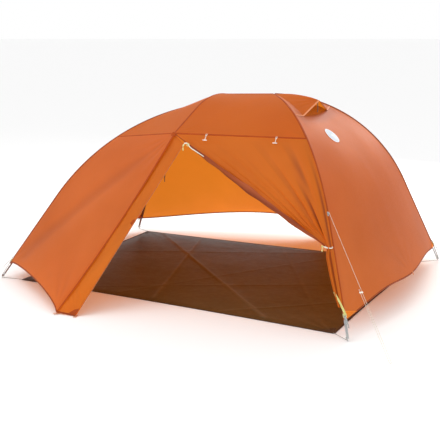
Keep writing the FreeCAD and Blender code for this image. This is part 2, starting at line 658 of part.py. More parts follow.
def hanging_toggle(name, pivot, axis, down, length, radius, tape, cross=0.0):
    """Bar hung on a pin between two tapes; it ends in a knob, or in a crossbar of length cross."""
    pin = Part.makeCylinder(1.2, 9.6, pivot - axis * 4.8, axis)
    stem = block(9.0, 3.4, 2.0, pivot + down * 4.5, down, axis)
    end = pivot + down * (8.0 + length)
    if cross:
        bar = Part.makeCylinder(1.6, length, pivot + down * 8.0, down)
        tips = [Part.makeCone(radius, radius * 0.5, 3.0, end + way * (cross / 2.0), way)
                for way in (axis, -axis)]
        knob = Part.makeCylinder(radius, cross, end - axis * (cross / 2.0), axis).fuse(tips)
    else:
        bar = Part.makeCylinder(radius, length, pivot + down * 8.0, down)
        knob = Part.makeSphere(radius * 1.35, end)
    save(name, pin.fuse([stem, bar, knob]))
    print(name, "pivot", pivot, "axis", axis)
    for way in (-3.6, 3.6):
        cheek = Part.makeCylinder(2.6, 1.2, pivot + axis * (way - 0.6), axis)
        cheek = cheek.fuse(block(tape, 1.2, 2.6, pivot - down * tape / 2.0 + axis * way, down, axis))
        loops.append(cheek.cut(Part.makeCylinder(1.25, 4.0, pivot + axis * (way - 2.0), axis)))


for place, share in ROOF_TOGGLES.items():
    pivot = near_seam(share) + FLAP_SLOPE * 14.0 + FLAP_FACE * 15.0
    hanging_toggle("roof_toggle_" + place, pivot, seam_along, FLAP_SLOPE, 26.0, TOGGLE_R, 10.0, 24.0)
hanging_toggle("door_edge_toggle", INNER_TOGGLE, V(1, 0, 0), V(0, 0, -1), 24.0, 2.4, 12.0)
save("toggle_loops", *loops)

# Tie round the gathered flap: a band with a small eye, and a toggle whose head rests on the eye.
BAND_R = 26.0
BAND_SQUEEZE = 0.62
EYE_R = 5.4
EYE_FORWARD = -4.0              # keeps the toggle in front of the flap as it slides up
PEG_LENGTH = 30.0
band_at = (tie + tie_inner) / 2.0 + V(0.0, -3.0, 0.0)
band = Part.makeTorus(BAND_R, 2.0)
band = band.transformGeometry(FreeCAD.Matrix(1, 0, 0, 0, 0, BAND_SQUEEZE, 0, 0, 0, 0, 1, 0, 0, 0, 0, 1))
eye_at = V(-BAND_R - EYE_R - 4.0, EYE_FORWARD, 0)
bridge_run = eye_at + V(BAND_R, 0, 0)
bridge_side = UP.cross(bridge_run)
bridge = block(7.5, 3.0, 2.0, V(-BAND_R, 0, 0) + bridge_run * 0.28, bridge_run, bridge_side)
band = band.fuse([Part.makeTorus(EYE_R, 1.2, eye_at), bridge])
band = band.cut(Part.makeCylinder(EYE_R - 1.2, 8.0, eye_at - UP * 4.0))
band.translate(band_at)
save("door_tie", band)
head_at = band_at + eye_at + UP * 3.6
peg_end = head_at - UP * PEG_LENGTH
peg = Part.makeCylinder(3.0, PEG_LENGTH, peg_end).fuse(Part.makeSphere(3.8, peg_end))
save("door_tie_toggle", Part.makeSphere(4.6, head_at).fuse(peg))
print("tie", band_at, "toggle head", head_at)

# ---------------------------------------------------------------- vent strut
peak = V(*VENT_PEAK)
strut_top = peak + V(-9.0, 0, -8.0)
STRUT_LENGTH = 66.0
socket = Part.makeBox(12.0, 26.0, 5.0, strut_top + V(-6.0, -13.0, -0.5))
socket = socket.fuse([Part.makeBox(8.0, 3.0, 9.0, strut_top + V(-4.0, y, -6.5)) for y in (-9.0, 6.0)])
socket = socket.cut(Part.makeCylinder(1.55, 40.0, strut_top + V(0, -20.0, -3.5), V(0, 1, 0)))
save("vent_strut_socket", socket)
strut_pin = Part.makeCylinder(1.5, 19.0, strut_top + V(0, -9.5, -3.5), V(0, 1, 0))
strut = Part.makeBox(2.4, 11.0, STRUT_LENGTH, strut_top + V(-1.2, -5.5, -3.5 - STRUT_LENGTH))
save("vent_strut", strut_pin.fuse(strut))
print("strut pivot", strut_top + V(0, 0, -3.5))
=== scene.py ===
import json
import math

import bpy
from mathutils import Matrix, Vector, noise


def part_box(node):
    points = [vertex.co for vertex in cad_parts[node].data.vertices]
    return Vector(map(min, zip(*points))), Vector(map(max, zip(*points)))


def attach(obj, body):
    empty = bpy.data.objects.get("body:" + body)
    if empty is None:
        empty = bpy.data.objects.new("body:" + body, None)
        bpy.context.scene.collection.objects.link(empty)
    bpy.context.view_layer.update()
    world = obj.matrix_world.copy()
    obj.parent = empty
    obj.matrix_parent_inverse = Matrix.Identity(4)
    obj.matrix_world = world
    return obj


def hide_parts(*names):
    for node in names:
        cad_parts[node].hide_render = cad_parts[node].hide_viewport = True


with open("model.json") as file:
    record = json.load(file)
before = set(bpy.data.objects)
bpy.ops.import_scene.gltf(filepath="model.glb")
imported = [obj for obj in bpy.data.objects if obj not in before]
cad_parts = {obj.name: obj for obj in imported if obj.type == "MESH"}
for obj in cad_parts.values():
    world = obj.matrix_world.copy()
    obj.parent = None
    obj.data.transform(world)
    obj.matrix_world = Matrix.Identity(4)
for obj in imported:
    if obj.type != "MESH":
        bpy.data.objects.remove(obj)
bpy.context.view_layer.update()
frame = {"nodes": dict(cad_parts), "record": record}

UP = Vector((0.0, 0.0, 1.0))
FABRIC_OFF = 0.011              # from a pole's centre line to the fabric over it
CORNER_S = 0.122                # distance up each leg to the corner of the fly
SEAM_Z = {"head": 1.045, "foot": 0.956}
BROW_X = -0.055
BROW_REACH = 0.600
BROW_TIP_Z = 1.035
BROW_TOP_Z = 1.2342
BROW_RISE = math.radians(24.5)
NEAR_STAKE = Vector((-0.478, -1.324, 0.014))
DOOR_STAKE = Vector((-0.348, -1.309, 0.006))
FAR_STAKE = Vector((0.250, 1.310, 0.010))
ZIP_TOP = Vector((0.020, -0.622, 0.985))
HEAD_TAB = Vector((1.334, 0.0, 0.164))
FOOT_TAB = Vector((-1.322, 0.0, 0.150))
VENT_PEAK = Vector((0.674, 0.0, 1.232))
VENT_SIDE = Vector((0.650, 0.205, 1.150))
TIE_Z = 0.480
GUY_Z = 0.656
GUY_ANCHOR = Vector((1.580, -1.200, 0.003))
FLOOR_LENGTH = 2.290
FLOOR_WIDTH = {"head": 1.780, "foot": 1.640}
FLOOR_HOLLOW = 0.016
HEM_ARCH = 0.030


# -------------------- pole lines and fabric edges
class Route:
    """Centre line of a pole: a straight run and one tangent arc, in an upright plane."""

    def __init__(self, start, end, rise, straight):
        self.start = Vector(start)
        end = Vector(end)
        flat = Vector((end.x - self.start.x, end.y - self.start.y, 0.0))
        self.out = flat.normalized()
        self.rise = rise
        self.straight = straight
        chord_x = flat.length - straight * math.cos(rise)
        chord_z = end.z - self.start.z - straight * math.sin(rise)
        half = rise - math.atan2(chord_z, chord_x)
        self.radius = math.hypot(chord_x, chord_z) / (2.0 * math.sin(half))
        self.length = straight + 2.0 * half * self.radius

    def angle(self, s):
        return self.rise - max(0.0, s - self.straight) / self.radius

    def heading(self, s):
        return self.out * math.cos(self.angle(s)) + UP * math.sin(self.angle(s))

    def normal(self, s):
        return UP * math.cos(self.angle(s)) - self.out * math.sin(self.angle(s))

    def point(self, s, off=0.0):
        at = self.start + self.heading(0.0) * min(s, self.straight)
        if s > self.straight:
            at += (self.normal(s) - self.normal(0.0)) * self.radius
        return at + self.normal(s) * off

    def at_height(self, z, off=FABRIC_OFF):
        low, high = 0.0, self.length
        for _ in range(40):
            mid = (low + high) / 2.0
            if self.point(mid, off).z < z:
                low = mid
            else:
                high = mid
        return low


def hinge_of(name):
    """Place and axis of a hinge in the record."""
    joint = next(j for j in frame["record"]["behaviour"]["joints"] if j["name"] == name)
    return Vector(joint["pos_m"]), Vector(joint["axis"])


HUBS = {"head": (0.350, 0.0, 1.250), "foot": (-0.200, 0.0, 1.157)}
LEGS = {
    "near_head": Route((1.259, -0.978, 0.0), HUBS["head"], math.radians(62.0), 0.690),
    "far_head": Route((1.249, 0.994, 0.0), HUBS["head"], math.radians(62.0), 0.690),
    "near_foot": Route((-1.300, -0.845, 0.0), HUBS["foot"], math.radians(54.0), 0.691),
    "far_foot": Route((-1.264, 0.872, 0.0), HUBS["foot"], math.radians(54.0), 0.691),
}
RIDGE = Route(HUBS["head"], HUBS["foot"], math.radians(-3.4), 0.378)
RIDGE_CROSSING = (HUBS["head"][0] - BROW_X) / math.cos(RIDGE.rise)
brow_fall = BROW_REACH * math.tan(BROW_RISE) - (BROW_TOP_Z - BROW_TIP_Z)
brow_radius = brow_fall / (math.sin(BROW_RISE) * math.tan(BROW_RISE) - 1.0 + math.cos(BROW_RISE))
BROW_STRAIGHT = (BROW_REACH - brow_radius * math.sin(BROW_RISE)) / math.cos(BROW_RISE)
SIDES = {"near": -1.0, "far": 1.0}
BROW = {side: Route((BROW_X, sign * BROW_REACH, BROW_TIP_Z), (BROW_X, 0.0, BROW_TOP_Z), BROW_RISE,
                    BROW_STRAIGHT)
        for side, sign in SIDES.items()}
BROW_TIPS = {side: Vector((BROW_X, sign * (BROW_REACH + 0.006), BROW_TIP_Z + FABRIC_OFF - 0.002))
             for side, sign in SIDES.items()}
ROOF_BROW = Vector((BROW_X, 0.0, BROW_TOP_Z + FABRIC_OFF))
ROOF_HEAD = Vector((HUBS["head"][0], 0.0, HUBS["head"][2] + FABRIC_OFF + 0.001))
CORNERS = {name: leg.point(CORNER_S, FABRIC_OFF) for name, leg in LEGS.items()}
SEAM_S = {name: leg.at_height(SEAM_Z[name[-4:]]) for name, leg in LEGS.items()}
SEAMS = {name: LEGS[name].point(s, FABRIC_OFF) for name, s in SEAM_S.items()}
VENT_S = {name: LEGS[name].at_height(1.168) for name in ("near_head", "far_head")}
VENT_ENDS = {name: LEGS[name].point(s, FABRIC_OFF) for name, s in VENT_S.items()}
HUB_GAP = 0.024                 # fabric stops this far short of the end of each leg pole
LOW_CUT = (0.150, 0.7, 0.45)    # rise of an arched hem, and how early and how late it falls off
HIGH_CUT = (0.390, 1.2, 0.45)
NEAR_IN, NEAR_OUT = (0.2, 1.0, -0.3), (-0.2, -1.0, 0.3)
FAR_IN, FAR_OUT = (0.0, -1.0, -0.3), (0.0, 1.0, 0.3)


def line(a, b):
    return lambda t: a.lerp(b, t)


def leg_line(name, s0, s1):
    return lambda t: LEGS[name].point(s0 + (s1 - s0) * t, FABRIC_OFF)


def cut_hem(a, b, rise, early, late):
    return lambda t: a.lerp(b, t) + UP * (rise * t ** early * (1.0 - t) ** late)


def bowed(a, b, push):
    return lambda t: a.lerp(b, t) + push * (4.0 * t * (1.0 - t))


def tab_hem(a, b, tab):
    push = tab - (a + b) / 2.0
    return lambda t: (a.lerp(b, t) + push * (1.0 - abs(2.0 * t - 1.0) ** 1.5)
                      + UP * (HEM_ARCH * math.sin(2.0 * math.pi * t) ** 2))


def brow_line(side):
    route = BROW[side]
    turn = 1.0 / 12.0
    return lambda t: (BROW_TIPS[side].lerp(route.point(0.0, FABRIC_OFF), t / turn) if t < turn
                      else route.point(route.length * (t - turn) / (1.0 - turn), FABRIC_OFF))


def ridge_to_foot(t):
    at = RIDGE.point(RIDGE_CROSSING + (RIDGE.length - RIDGE_CROSSING) * t, FABRIC_OFF)
    return at + (ROOF_BROW - RIDGE.point(RIDGE_CROSSING, FABRIC_OFF)) * (1.0 - t) ** 3


def vent_lip(t):
    name = "near_head" if t < 0.5 else "far_head"
    side = Vector((VENT_SIDE.x, VENT_SIDE.y * (-1.0 if t < 0.5 else 1.0), VENT_SIDE.z))
    w = 2.0 * t if t < 0.5 else 2.0 - 2.0 * t
    if w < 0.3:
        return VENT_ENDS[name].lerp(side, w / 0.3)
    return side.lerp(VENT_PEAK, (w - 0.3) / 0.7)


def vent_sill(t):
    drop = 4.0 * t * (1.0 - t)
    return VENT_ENDS["near_head"].lerp(VENT_ENDS["far_head"],
                                       t) + Vector((0.026, 0.0, -0.034)) * drop - UP * 0.006


def across_hub(end):
    a = LEGS["near_" + end].point(LEGS["near_" + end].length - HUB_GAP, FABRIC_OFF)
    b = LEGS["far_" + end].point(LEGS["far_" + end].length - HUB_GAP, FABRIC_OFF)
    return line(a, b)


HEM_EDGES = {
    "near": cut_hem(CORNERS["near_foot"], NEAR_STAKE, *LOW_CUT),
    "head": tab_hem(CORNERS["near_head"], CORNERS["far_head"], HEAD_TAB),
    "foot": tab_hem(CORNERS["near_foot"], CORNERS["far_foot"], FOOT_TAB),
    "far_foot": cut_hem(CORNERS["far_foot"], FAR_STAKE, *HIGH_CUT),
    "far_head": cut_hem(CORNERS["far_head"], FAR_STAKE, *LOW_CUT),
}


def coons(top, bottom, left, right):
    """Surface stretched between four edges."""
    a, b, c, d = top(0.0), top(1.0), bottom(0.0), bottom(1.0)

    def at(u, v):
        p = top(u).lerp(bottom(u), v) + left(v).lerp(right(v), u)
        return p - a.lerp(b, u).lerp(c.lerp(d, u), v)
    return at


# -------------------- materials
def nodes_of(name):
    mat = bpy.data.materials.new(name)
    mat.use_nodes = True
    return mat, mat.node_tree, mat.node_tree.nodes["Principled BSDF"]


def math_node(tree, op, a, b=None):
    node = tree.nodes.new("ShaderNodeMath")
    node.operation = op
    for socket, value in zip(node.inputs, (a, b)):
        if value is None:
            continue
        if isinstance(value, (int, float)):
            socket.default_value = value
        else:
            tree.links.new(value, socket)
    return node.outputs[0]


def ramp(tree, value, stops):
    node = tree.nodes.new("ShaderNodeValToRGB")
    marks = node.color_ramp.elements
    while len(marks) < len(stops):
        marks.new(0.5)
    for mark, (place, colour) in zip(marks, stops):
        mark.position = place
        mark.color = (*colour, 1.0)
    tree.links.new(value, node.inputs[0])
    return node.outputs[0]


def noise_value(tree, coord, scale, detail=3.0, rough=0.5):
    node = tree.nodes.new("ShaderNodeTexNoise")
    node.inputs["Scale"].default_value = scale
    node.inputs["Detail"].default_value = detail
    node.inputs["Roughness"].default_value = rough
    tree.links.new(coord, node.inputs["Vector"])
    return node.outputs["Fac"]


def coords(tree, kind):
    node = tree.nodes.new("ShaderNodeTexCoord")
    return node.outputs[kind]


def split(tree, coord):
    node = tree.nodes.new("ShaderNodeSeparateXYZ")
    tree.links.new(coord, node.inputs[0])
    return node.outputs


def stripes(tree, value, period, share):
    """1 on thin lines that repeat every period, 0 between them."""
    turn = math_node(tree, "FRACT", math_node(tree, "DIVIDE", value, period))
    return math_node(tree, "LESS_THAN", turn, share)


def threads(tree, uv, period, share):
    """1 on a square grid of threads, 0 between them."""
    return math_node(tree, "MAXIMUM", stripes(tree, uv[0], period, share),
                     stripes(tree, uv[1], period, share))


def spread(tree, value, factor, start):
    """A value multiplied by a factor and added to a start, which is a number or a socket."""
    return math_node(tree, "ADD", math_node(tree, "MULTIPLY", value, factor), start)


def bump(tree, shader, height, strength, distance, last=None):
    node = tree.nodes.new("ShaderNodeBump")
    node.inputs["Strength"].default_value = strength
    node.inputs["Distance"].default_value = distance
    tree.links.new(height, node.inputs["Height"])
    if last is not None:
        tree.links.new(last, node.inputs["Normal"])
    if shader is not None:
        tree.links.new(node.outputs[0], shader.inputs["Normal"])
    return node.outputs[0]


def fold_shade_of(tree):
    """How deep a point lies in a fold, 0 to 1, as stored on the cloth's own points, used as painted shade."""
    node = tree.nodes.new("ShaderNodeAttribute")
    node.attribute_name = "fold_shade"
    return node.outputs["Fac"]


def mixed(tree, share, first, second):
    """Blend of two colours; each is a socket or an RGB triple."""
    node = tree.nodes.new("ShaderNodeMix")
    node.data_type = "RGBA"
    tree.links.new(share, node.inputs[0])
    for socket, colour in ((node.inputs[6], first), (node.inputs[7], second)):
        if isinstance(colour, tuple):
            socket.default_value = (*colour, 1.0)
        else:
            tree.links.new(colour, socket)
    return node.outputs[2]


def see_through(tree, shader, colour, share, fold_shade=None):
    """Thin cloth: part of the light scatters to its other side, less of it in deep folds, as painted shade.
    """
    glow = tree.nodes.new("ShaderNodeBsdfTranslucent")
    glow.inputs["Color"].default_value = (*colour, 1.0)
    blend = tree.nodes.new("ShaderNodeMixShader")
    if fold_shade is None:
        blend.inputs[0].default_value = share
    else:
        thin = math_node(tree, "SUBTRACT", 1.0, math_node(tree, "MULTIPLY", fold_shade, 0.75))
        tree.links.new(math_node(tree, "MULTIPLY", thin, share), blend.inputs[0])
    tree.links.new(shader.outputs[0], blend.inputs[1])
    tree.links.new(glow.outputs[0], blend.inputs[2])
    tree.links.new(blend.outputs[0], tree.nodes["Material Output"].inputs["Surface"])


# Colour factors of the painted shade laid in the fly's folds.
FOLD_SHADE_TINT = (0.46, 0.32, 0.40)
FULL_TURN = 6.2832
WEAVE_PERIOD = 0.0016
BRAID_PITCH = 0.0032


def fly_material(name, low, high, glow, share):
    """Coated ripstop: a fine square grid of thicker threads, a soft sheen, slow colour drift and painted
    shade darkening its folds.
    """
    mat, tree, shader = nodes_of(name)
    place = coords(tree, "Object")
    uv = split(tree, coords(tree, "UV"))
    drift = noise_value(tree, place, 2.4, 4.0)
    fold_shade = fold_shade_of(tree)
    base = ramp(tree, drift, ((0.32, low), (0.68, high)))
    # Painted shade: the base colour darkens in folds, by the fold shade value stored on the cloth.
    tree.links.new(mixed(tree, fold_shade, base, tuple(c * k for c, k in zip(low, FOLD_SHADE_TINT))),
                   shader.inputs["Base Color"])
    grid = threads(tree, uv, 0.005, 0.1)
    puckers = noise_value(tree, place, 38.0, 5.0, 0.6)
    first = bump(tree, None, puckers, 0.22, 0.0025)
    bump(tree, shader, grid, 0.25, 0.0002, first)
    gloss = noise_value(tree, place, 60.0, 2.0)
    tree.links.new(spread(tree, gloss, 0.16, 0.48), shader.inputs["Roughness"])
    shader.inputs["Specular IOR Level"].default_value = 0.26
    shader.inputs["Sheen Weight"].default_value = 0.05
    shader.inputs["Sheen Roughness"].default_value = 0.4
    shader.inputs["Sheen Tint"].default_value = (1.0, 0.62, 0.40, 1.0)
    see_through(tree, shader, glow, share, fold_shade)
    return mat


def tape_material(name, colour, dark, stitch, glow=None):
    """Folded seam or hem: two rows of stitches near its edges, read from the strip's own length and width."""
    mat, tree, shader = nodes_of(name)
    place = coords(tree, "Object")
    uv = split(tree, coords(tree, "UV"))
    drift = noise_value(tree, place, 9.0, 3.0)
    base = ramp(tree, drift, ((0.3, dark), (0.7, colour)))
    rows = []
    for middle in (0.2, 0.8):
        off = math_node(tree, "ABSOLUTE", math_node(tree, "SUBTRACT", uv[1], middle))
        rows.append(math_node(tree, "LESS_THAN", off, 0.045))
    row = math_node(tree, "MAXIMUM", rows[0], rows[1])
    dash = math_node(tree, "MULTIPLY", row, stripes(tree, uv[0], 0.0042, 0.72))
    tree.links.new(mixed(tree, dash, base, stitch), shader.inputs["Base Color"])
    pucker = noise_value(tree, place, 130.0, 3.0)
    first = bump(tree, None, pucker, 0.3, 0.001)
    bump(tree, shader, dash, 0.5, 0.0004, first)
    shader.inputs["Roughness"].default_value = 0.62
    shader.inputs["Specular IOR Level"].default_value = 0.22
    if glow is not None:
        see_through(tree, shader, glow, 0.22)
    return mat


def webbing_material(name, light, dark):
    """Woven tape: ribs across its length and a fine cross weave."""
    mat, tree, shader = nodes_of(name)
    place = coords(tree, "Object")
    uv = split(tree, coords(tree, "UV"))
    ribs = math_node(tree, "SINE", math_node(tree, "MULTIPLY", uv[0], FULL_TURN / WEAVE_PERIOD))
    across = math_node(tree, "SINE", math_node(tree, "MULTIPLY", uv[1], 38.0))
    weave = math_node(tree, "MULTIPLY", ribs, across)
    mottle = noise_value(tree, place, 220.0, 3.0)
    shade = spread(tree, weave, 0.18, mottle)
    tree.links.new(ramp(tree, shade, ((0.25, dark), (0.75, light))), shader.inputs["Base Color"])
    bump(tree, shader, weave, 0.5, 0.0004)
    shader.inputs["Roughness"].default_value = 0.78
    shader.inputs["Sheen Weight"].default_value = 0.25
    return mat


def plastic_material(name, light, dark, rough):
    """Moulded plastic with a fine spark-eroded grain and slight scuffs."""
    mat, tree, shader = nodes_of(name)
    place = coords(tree, "Object")
    scuff = noise_value(tree, place, 55.0, 6.0, 0.7)
    tree.links.new(ramp(tree, scuff, ((0.35, dark), (0.62, light))), shader.inputs["Base Color"])
    tree.links.new(spread(tree, scuff, 0.2, rough - 0.1), shader.inputs["Roughness"])
    bump(tree, shader, noise_value(tree, place, 900.0, 2.0), 0.12, 0.0004)
    return mat


def metal_material(name, light, dark, rough):
    """Drawn and anodised tube: fine streaks along the pole and a faint wear mottle."""
    mat, tree, shader = nodes_of(name)
    place = coords(tree, "Object")
    wear = noise_value(tree, place, 34.0, 5.0, 0.65)
    tree.links.new(ramp(tree, wear, ((0.35, dark), (0.65, light))), shader.inputs["Base Color"])
    tree.links.new(spread(tree, wear, 0.22, rough - 0.1), shader.inputs["Roughness"])
    bump(tree, shader, noise_value(tree, place, 420.0, 4.0), 0.1, 0.0003)
    shader.inputs["Metallic"].default_value = 1.0
    return mat


def cord_material(name, light, dark):
    """Braided cord: slanting strands that cross round it."""
    mat, tree, shader = nodes_of(name)
    place = coords(tree, "Object")
    xyz = split(tree, place)
    flat = math_node(tree, "ADD", xyz[0], xyz[1])
    tall = math_node(tree, "MULTIPLY", xyz[2], 1.6)
    one, two = (math_node(tree, "SINE", math_node(tree, "MULTIPLY", slant, FULL_TURN / BRAID_PITCH))
                for slant in
                (math_node(tree, "ADD", flat, tall), math_node(tree, "SUBTRACT", tall, flat)))
    braid = math_node(tree, "MAXIMUM", one, two)
    mottle = noise_value(tree, place, 160.0, 2.0)
    shade = spread(tree, braid, 0.2, mottle)
    tree.links.new(ramp(tree, shade, ((0.35, dark), (0.8, light))), shader.inputs["Base Color"])
    bump(tree, shader, braid, 0.6, 0.0003)
    shader.inputs["Roughness"].default_value = 0.7
    return mat


ROOF = fly_material("fly_roof_fabric", (0.54, 0.112, 0.004), (0.61, 0.137, 0.007), (1.0, 0.30, 0.012), 0.40)
FLY = fly_material("fly_fabric", (0.55, 0.118, 0.014), (0.65, 0.152, 0.026), (1.0, 0.30, 0.022), 0.36)
FLY_LIT = fly_material("fly_flap_fabric", (0.57, 0.138, 0.006), (0.66, 0.172, 0.012), (1.0, 0.33, 0.018),
                       0.42)
# A darker copy of the fly fabric for the rolled edge: partly its inner face, partly painted shade inside the
# roll.
ROLLED = fly_material("fly_rolled_inner_face_and_shade", (0.36, 0.070, 0.014), (0.52, 0.120, 0.034), (0.8, 0.18, 0.02),
                      0.22)
SEAM = tape_material("fly_seam", (0.46, 0.076, 0.003), (0.36, 0.054, 0.002), (0.58, 0.11, 0.008),
                     (0.8, 0.17, 0.004))
HEM = tape_material("fly_hem", (0.34, 0.054, 0.004), (0.22, 0.034, 0.003), (0.44, 0.08, 0.008))
HEM_PALE = tape_material("fly_hem_pale", (0.80, 0.30, 0.13), (0.62, 0.19, 0.07), (0.90, 0.45, 0.25))
PATCH = tape_material("fly_reinforcement", (0.44, 0.074, 0.004), (0.35, 0.056, 0.003), (0.52, 0.10, 0.01),
                      (0.8, 0.17, 0.005))
PATCH_LIT = tape_material("fly_corner_patch", (0.94, 0.26, 0.008), (0.80, 0.19, 0.005), (1.0, 0.40, 0.05),
                          (1.0, 0.34, 0.01))
BADGE = tape_material("plain_badge", (0.74, 0.76, 0.80), (0.42, 0.50, 0.62), (0.86, 0.86, 0.86))
WEB_GREY = webbing_material("webbing_grey", (0.52, 0.53, 0.52), (0.26, 0.27, 0.27))
WEB_ORANGE = webbing_material("webbing_orange", (0.86, 0.30, 0.05), (0.55, 0.14, 0.02))
WEB_LIME = webbing_material("webbing_lime", (0.80, 0.78, 0.30), (0.50, 0.48, 0.12))
WEB_MAROON = webbing_material("webbing_maroon", (0.20, 0.060, 0.030), (0.09, 0.026, 0.014))
WEB_BROWN = webbing_material("webbing_brown", (0.115, 0.055, 0.030), (0.050, 0.024, 0.014))
WEB_WHITE = webbing_material("webbing_white", (0.95, 0.92, 0.80), (0.68, 0.64, 0.52))
POLE = metal_material("pole_anodised", (0.50, 0.51, 0.53), (0.34, 0.35, 0.37), 0.34)
POLE_MAROON = metal_material("pole_anodised_maroon", (0.22, 0.060, 0.028), (0.12, 0.032, 0.016), 0.36)
EYELET = metal_material("eyelet_plated", (0.72, 0.71, 0.68), (0.50, 0.49, 0.46), 0.28)
TIP = plastic_material("pole_tip_plastic", (0.60, 0.60, 0.58), (0.42, 0.42, 0.41), 0.45)
HUB = plastic_material("hub_plastic", (0.060, 0.060, 0.065), (0.030, 0.030, 0.032), 0.5)
BUCKLE = plastic_material("buckle_plastic", (0.78, 0.77, 0.40), (0.60, 0.59, 0.26), 0.42)
ZIP = plastic_material("zip_plastic", (0.82, 0.80, 0.36), (0.64, 0.62, 0.22), 0.36)
ZIP_DARK = plastic_material("zip_coil_plastic", (0.42, 0.12, 0.03), (0.26, 0.07, 0.02), 0.40)
WHITE = plastic_material("toggle_white", (0.96, 0.93, 0.82), (0.84, 0.80, 0.68), 0.42)
DARK = plastic_material("toggle_dark", (0.070, 0.040, 0.028), (0.030, 0.020, 0.016), 0.48)
CORD = cord_material("cord_braid", (0.84, 0.80, 0.68), (0.52, 0.47, 0.36))
CORD_GREY = cord_material("cord_grey", (0.50, 0.48, 0.43), (0.20, 0.19, 0.17))
SHOCK = cord_material("shock_braid", (0.30, 0.30, 0.30), (0.12, 0.12, 0.12))


def ground_material():
    """Dark coated nylon: a satin coating, a painted highlight along the tops of its packing folds, and a fine
    grid.
    """
    mat, tree, shader = nodes_of("footprint_fabric")
    place = coords(tree, "Object")
    height = split(tree, place)[2]
    uv = split(tree, coords(tree, "UV"))
    drift = noise_value(tree, place, 3.0, 5.0, 0.6)
    base = ramp(tree, drift, ((0.3, (0.045, 0.027, 0.009)), (0.7, (0.064, 0.039, 0.014))))
    # Painted highlight: the tops of the packing folds are lightened by their height.
    crest_highlight = tree.nodes.new("ShaderNodeMapRange")
    crest_highlight.inputs["From Min"].default_value = 0.0056
    crest_highlight.inputs["From Max"].default_value = 0.0100
    tree.links.new(height, crest_highlight.inputs["Value"])
    tree.links.new(mixed(tree, crest_highlight.outputs[0], base, (0.104, 0.068, 0.036)), shader.inputs["Base Color"])
    grid = threads(tree, uv, 0.006, 0.1)
    crumple = noise_value(tree, place, 24.0, 6.0, 0.65)
    first = bump(tree, None, crumple, 0.35, 0.004)
    bump(tree, shader, grid, 0.2, 0.0002, first)
    tree.links.new(spread(tree, crumple, 0.2, 0.36), shader.inputs["Roughness"])
    shader.inputs["Specular IOR Level"].default_value = 0.42
    return mat


def net_material():
    """Knitted net: small holes between darker threads, its dark colour standing in for the shade under the
    hood.
    """
    mat, tree, shader = nodes_of("vent_net_painted_shade")
    uv = split(tree, coords(tree, "UV"))
    knitted = threads(tree, uv, 0.0018, 0.42)
    shade = noise_value(tree, coords(tree, "Object"), 40.0, 3.0)
    tree.links.new(ramp(tree, shade, ((0.3, (0.26, 0.048, 0.006)), (0.7, (0.38, 0.075, 0.010)))),
                   shader.inputs["Base Color"])
    tree.links.new(spread(tree, knitted, 0.6, 0.35), shader.inputs["Alpha"])
    shader.inputs["Roughness"].default_value = 0.8
    return mat


NET = net_material()
GROUND = ground_material()
GROUND_HEM = tape_material("footprint_hem", (0.070, 0.036, 0.020), (0.040, 0.020, 0.012), (0.13, 0.08, 0.05))


# -------------------- mesh helpers
def add(name, verts, faces, mat, uvs=None, smooth=True, body="tent", fold_shades=None):
    mesh = bpy.data.meshes.new(name)
    mesh.from_pydata([tuple(v) for v in verts], [], faces)
    mesh.materials.append(mat)
    if uvs is not None:
        layer = mesh.uv_layers.new(name="UVMap")
        for loop in mesh.loops:
            layer.data[loop.index].uv = uvs[loop.vertex_index]
    if fold_shades is not None:
        # Painted fold shade, kept on the points for the fly materials to darken with.
        mesh.attributes.new("fold_shade", "FLOAT", "POINT").data.foreach_set("value", fold_shades)
    mesh.polygons.foreach_set("use_smooth", [smooth] * len(mesh.polygons))
    mesh.update()
    obj = bpy.data.objects.new(name, mesh)
    bpy.context.scene.collection.objects.link(obj)
    if body:
        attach(obj, body)
    return obj


def grid_faces(nu, nv, base=0, closed=False):
    faces = []
    wide = nu if closed else nu - 1
    for j in range(nv - 1):
        for i in range(wide):
            a = base + j * nu + i
            b = base + j * nu + (i + 1) % nu
            faces.append((a, b, b + nu, a + nu))
    return faces


def capped(sides, rows):
    """Faces of a tube of rows rings, with a flat cap on each end."""
    last = (rows - 1) * sides
    return grid_faces(sides, rows, 0, True) + [tuple(range(sides - 1, -1, -1)),
                                               tuple(range(last, last + sides))]


def wrapped(sides, rows):
    """Faces of a tube of rows rings whose last ring joins its first."""
    faces = grid_faces(sides, rows, 0, True)
    last = (rows - 1) * sides
    return faces + [(last + k, last + (k + 1) % sides, (k + 1) % sides, k) for k in range(sides)]


def step_angle(k, count):
    """Angle of the k-th of count equal steps round a circle."""
    return 2.0 * math.pi * k / count


def ease(t):
    t = min(1.0, max(0.0, t))
    return t * t * (3.0 - 2.0 * t)


def cloth(name, parts, mat):
    """One or more surfaces (surface, nu, nv, shift) made into one object; UVs are in metres of cloth."""
    verts, faces, uvs, fold_shades = [], [], [], []
    for surface, nu, nv, shift in parts:
        base = len(verts)
        rows = [[surface(i / (nu - 1), j / (nv - 1)) for i in range(nu)] for j in range(nv)]
        wide = sum((rows[nv // 2][i + 1] - rows[nv // 2][i]).length for i in range(nu - 1))
        tall = sum((rows[j + 1][nu // 2] - rows[j][nu // 2]).length for j in range(nv - 1))
        for j in range(nv):
            for i in range(nu):
                u, v = i / (nu - 1), j / (nv - 1)
                # shift gives each point's move and the painted shade of its fold.
                move, fold_shade = shift(u, v, rows[j][i])
                verts.append(rows[j][i] + move)
                uvs.append((u * wide, v * tall))
                fold_shades.append(min(1.0, max(0.0, fold_shade)))
        faces += grid_faces(nu, nv, base)
    return add(name, verts, faces, mat, uvs, fold_shades=fold_shades)


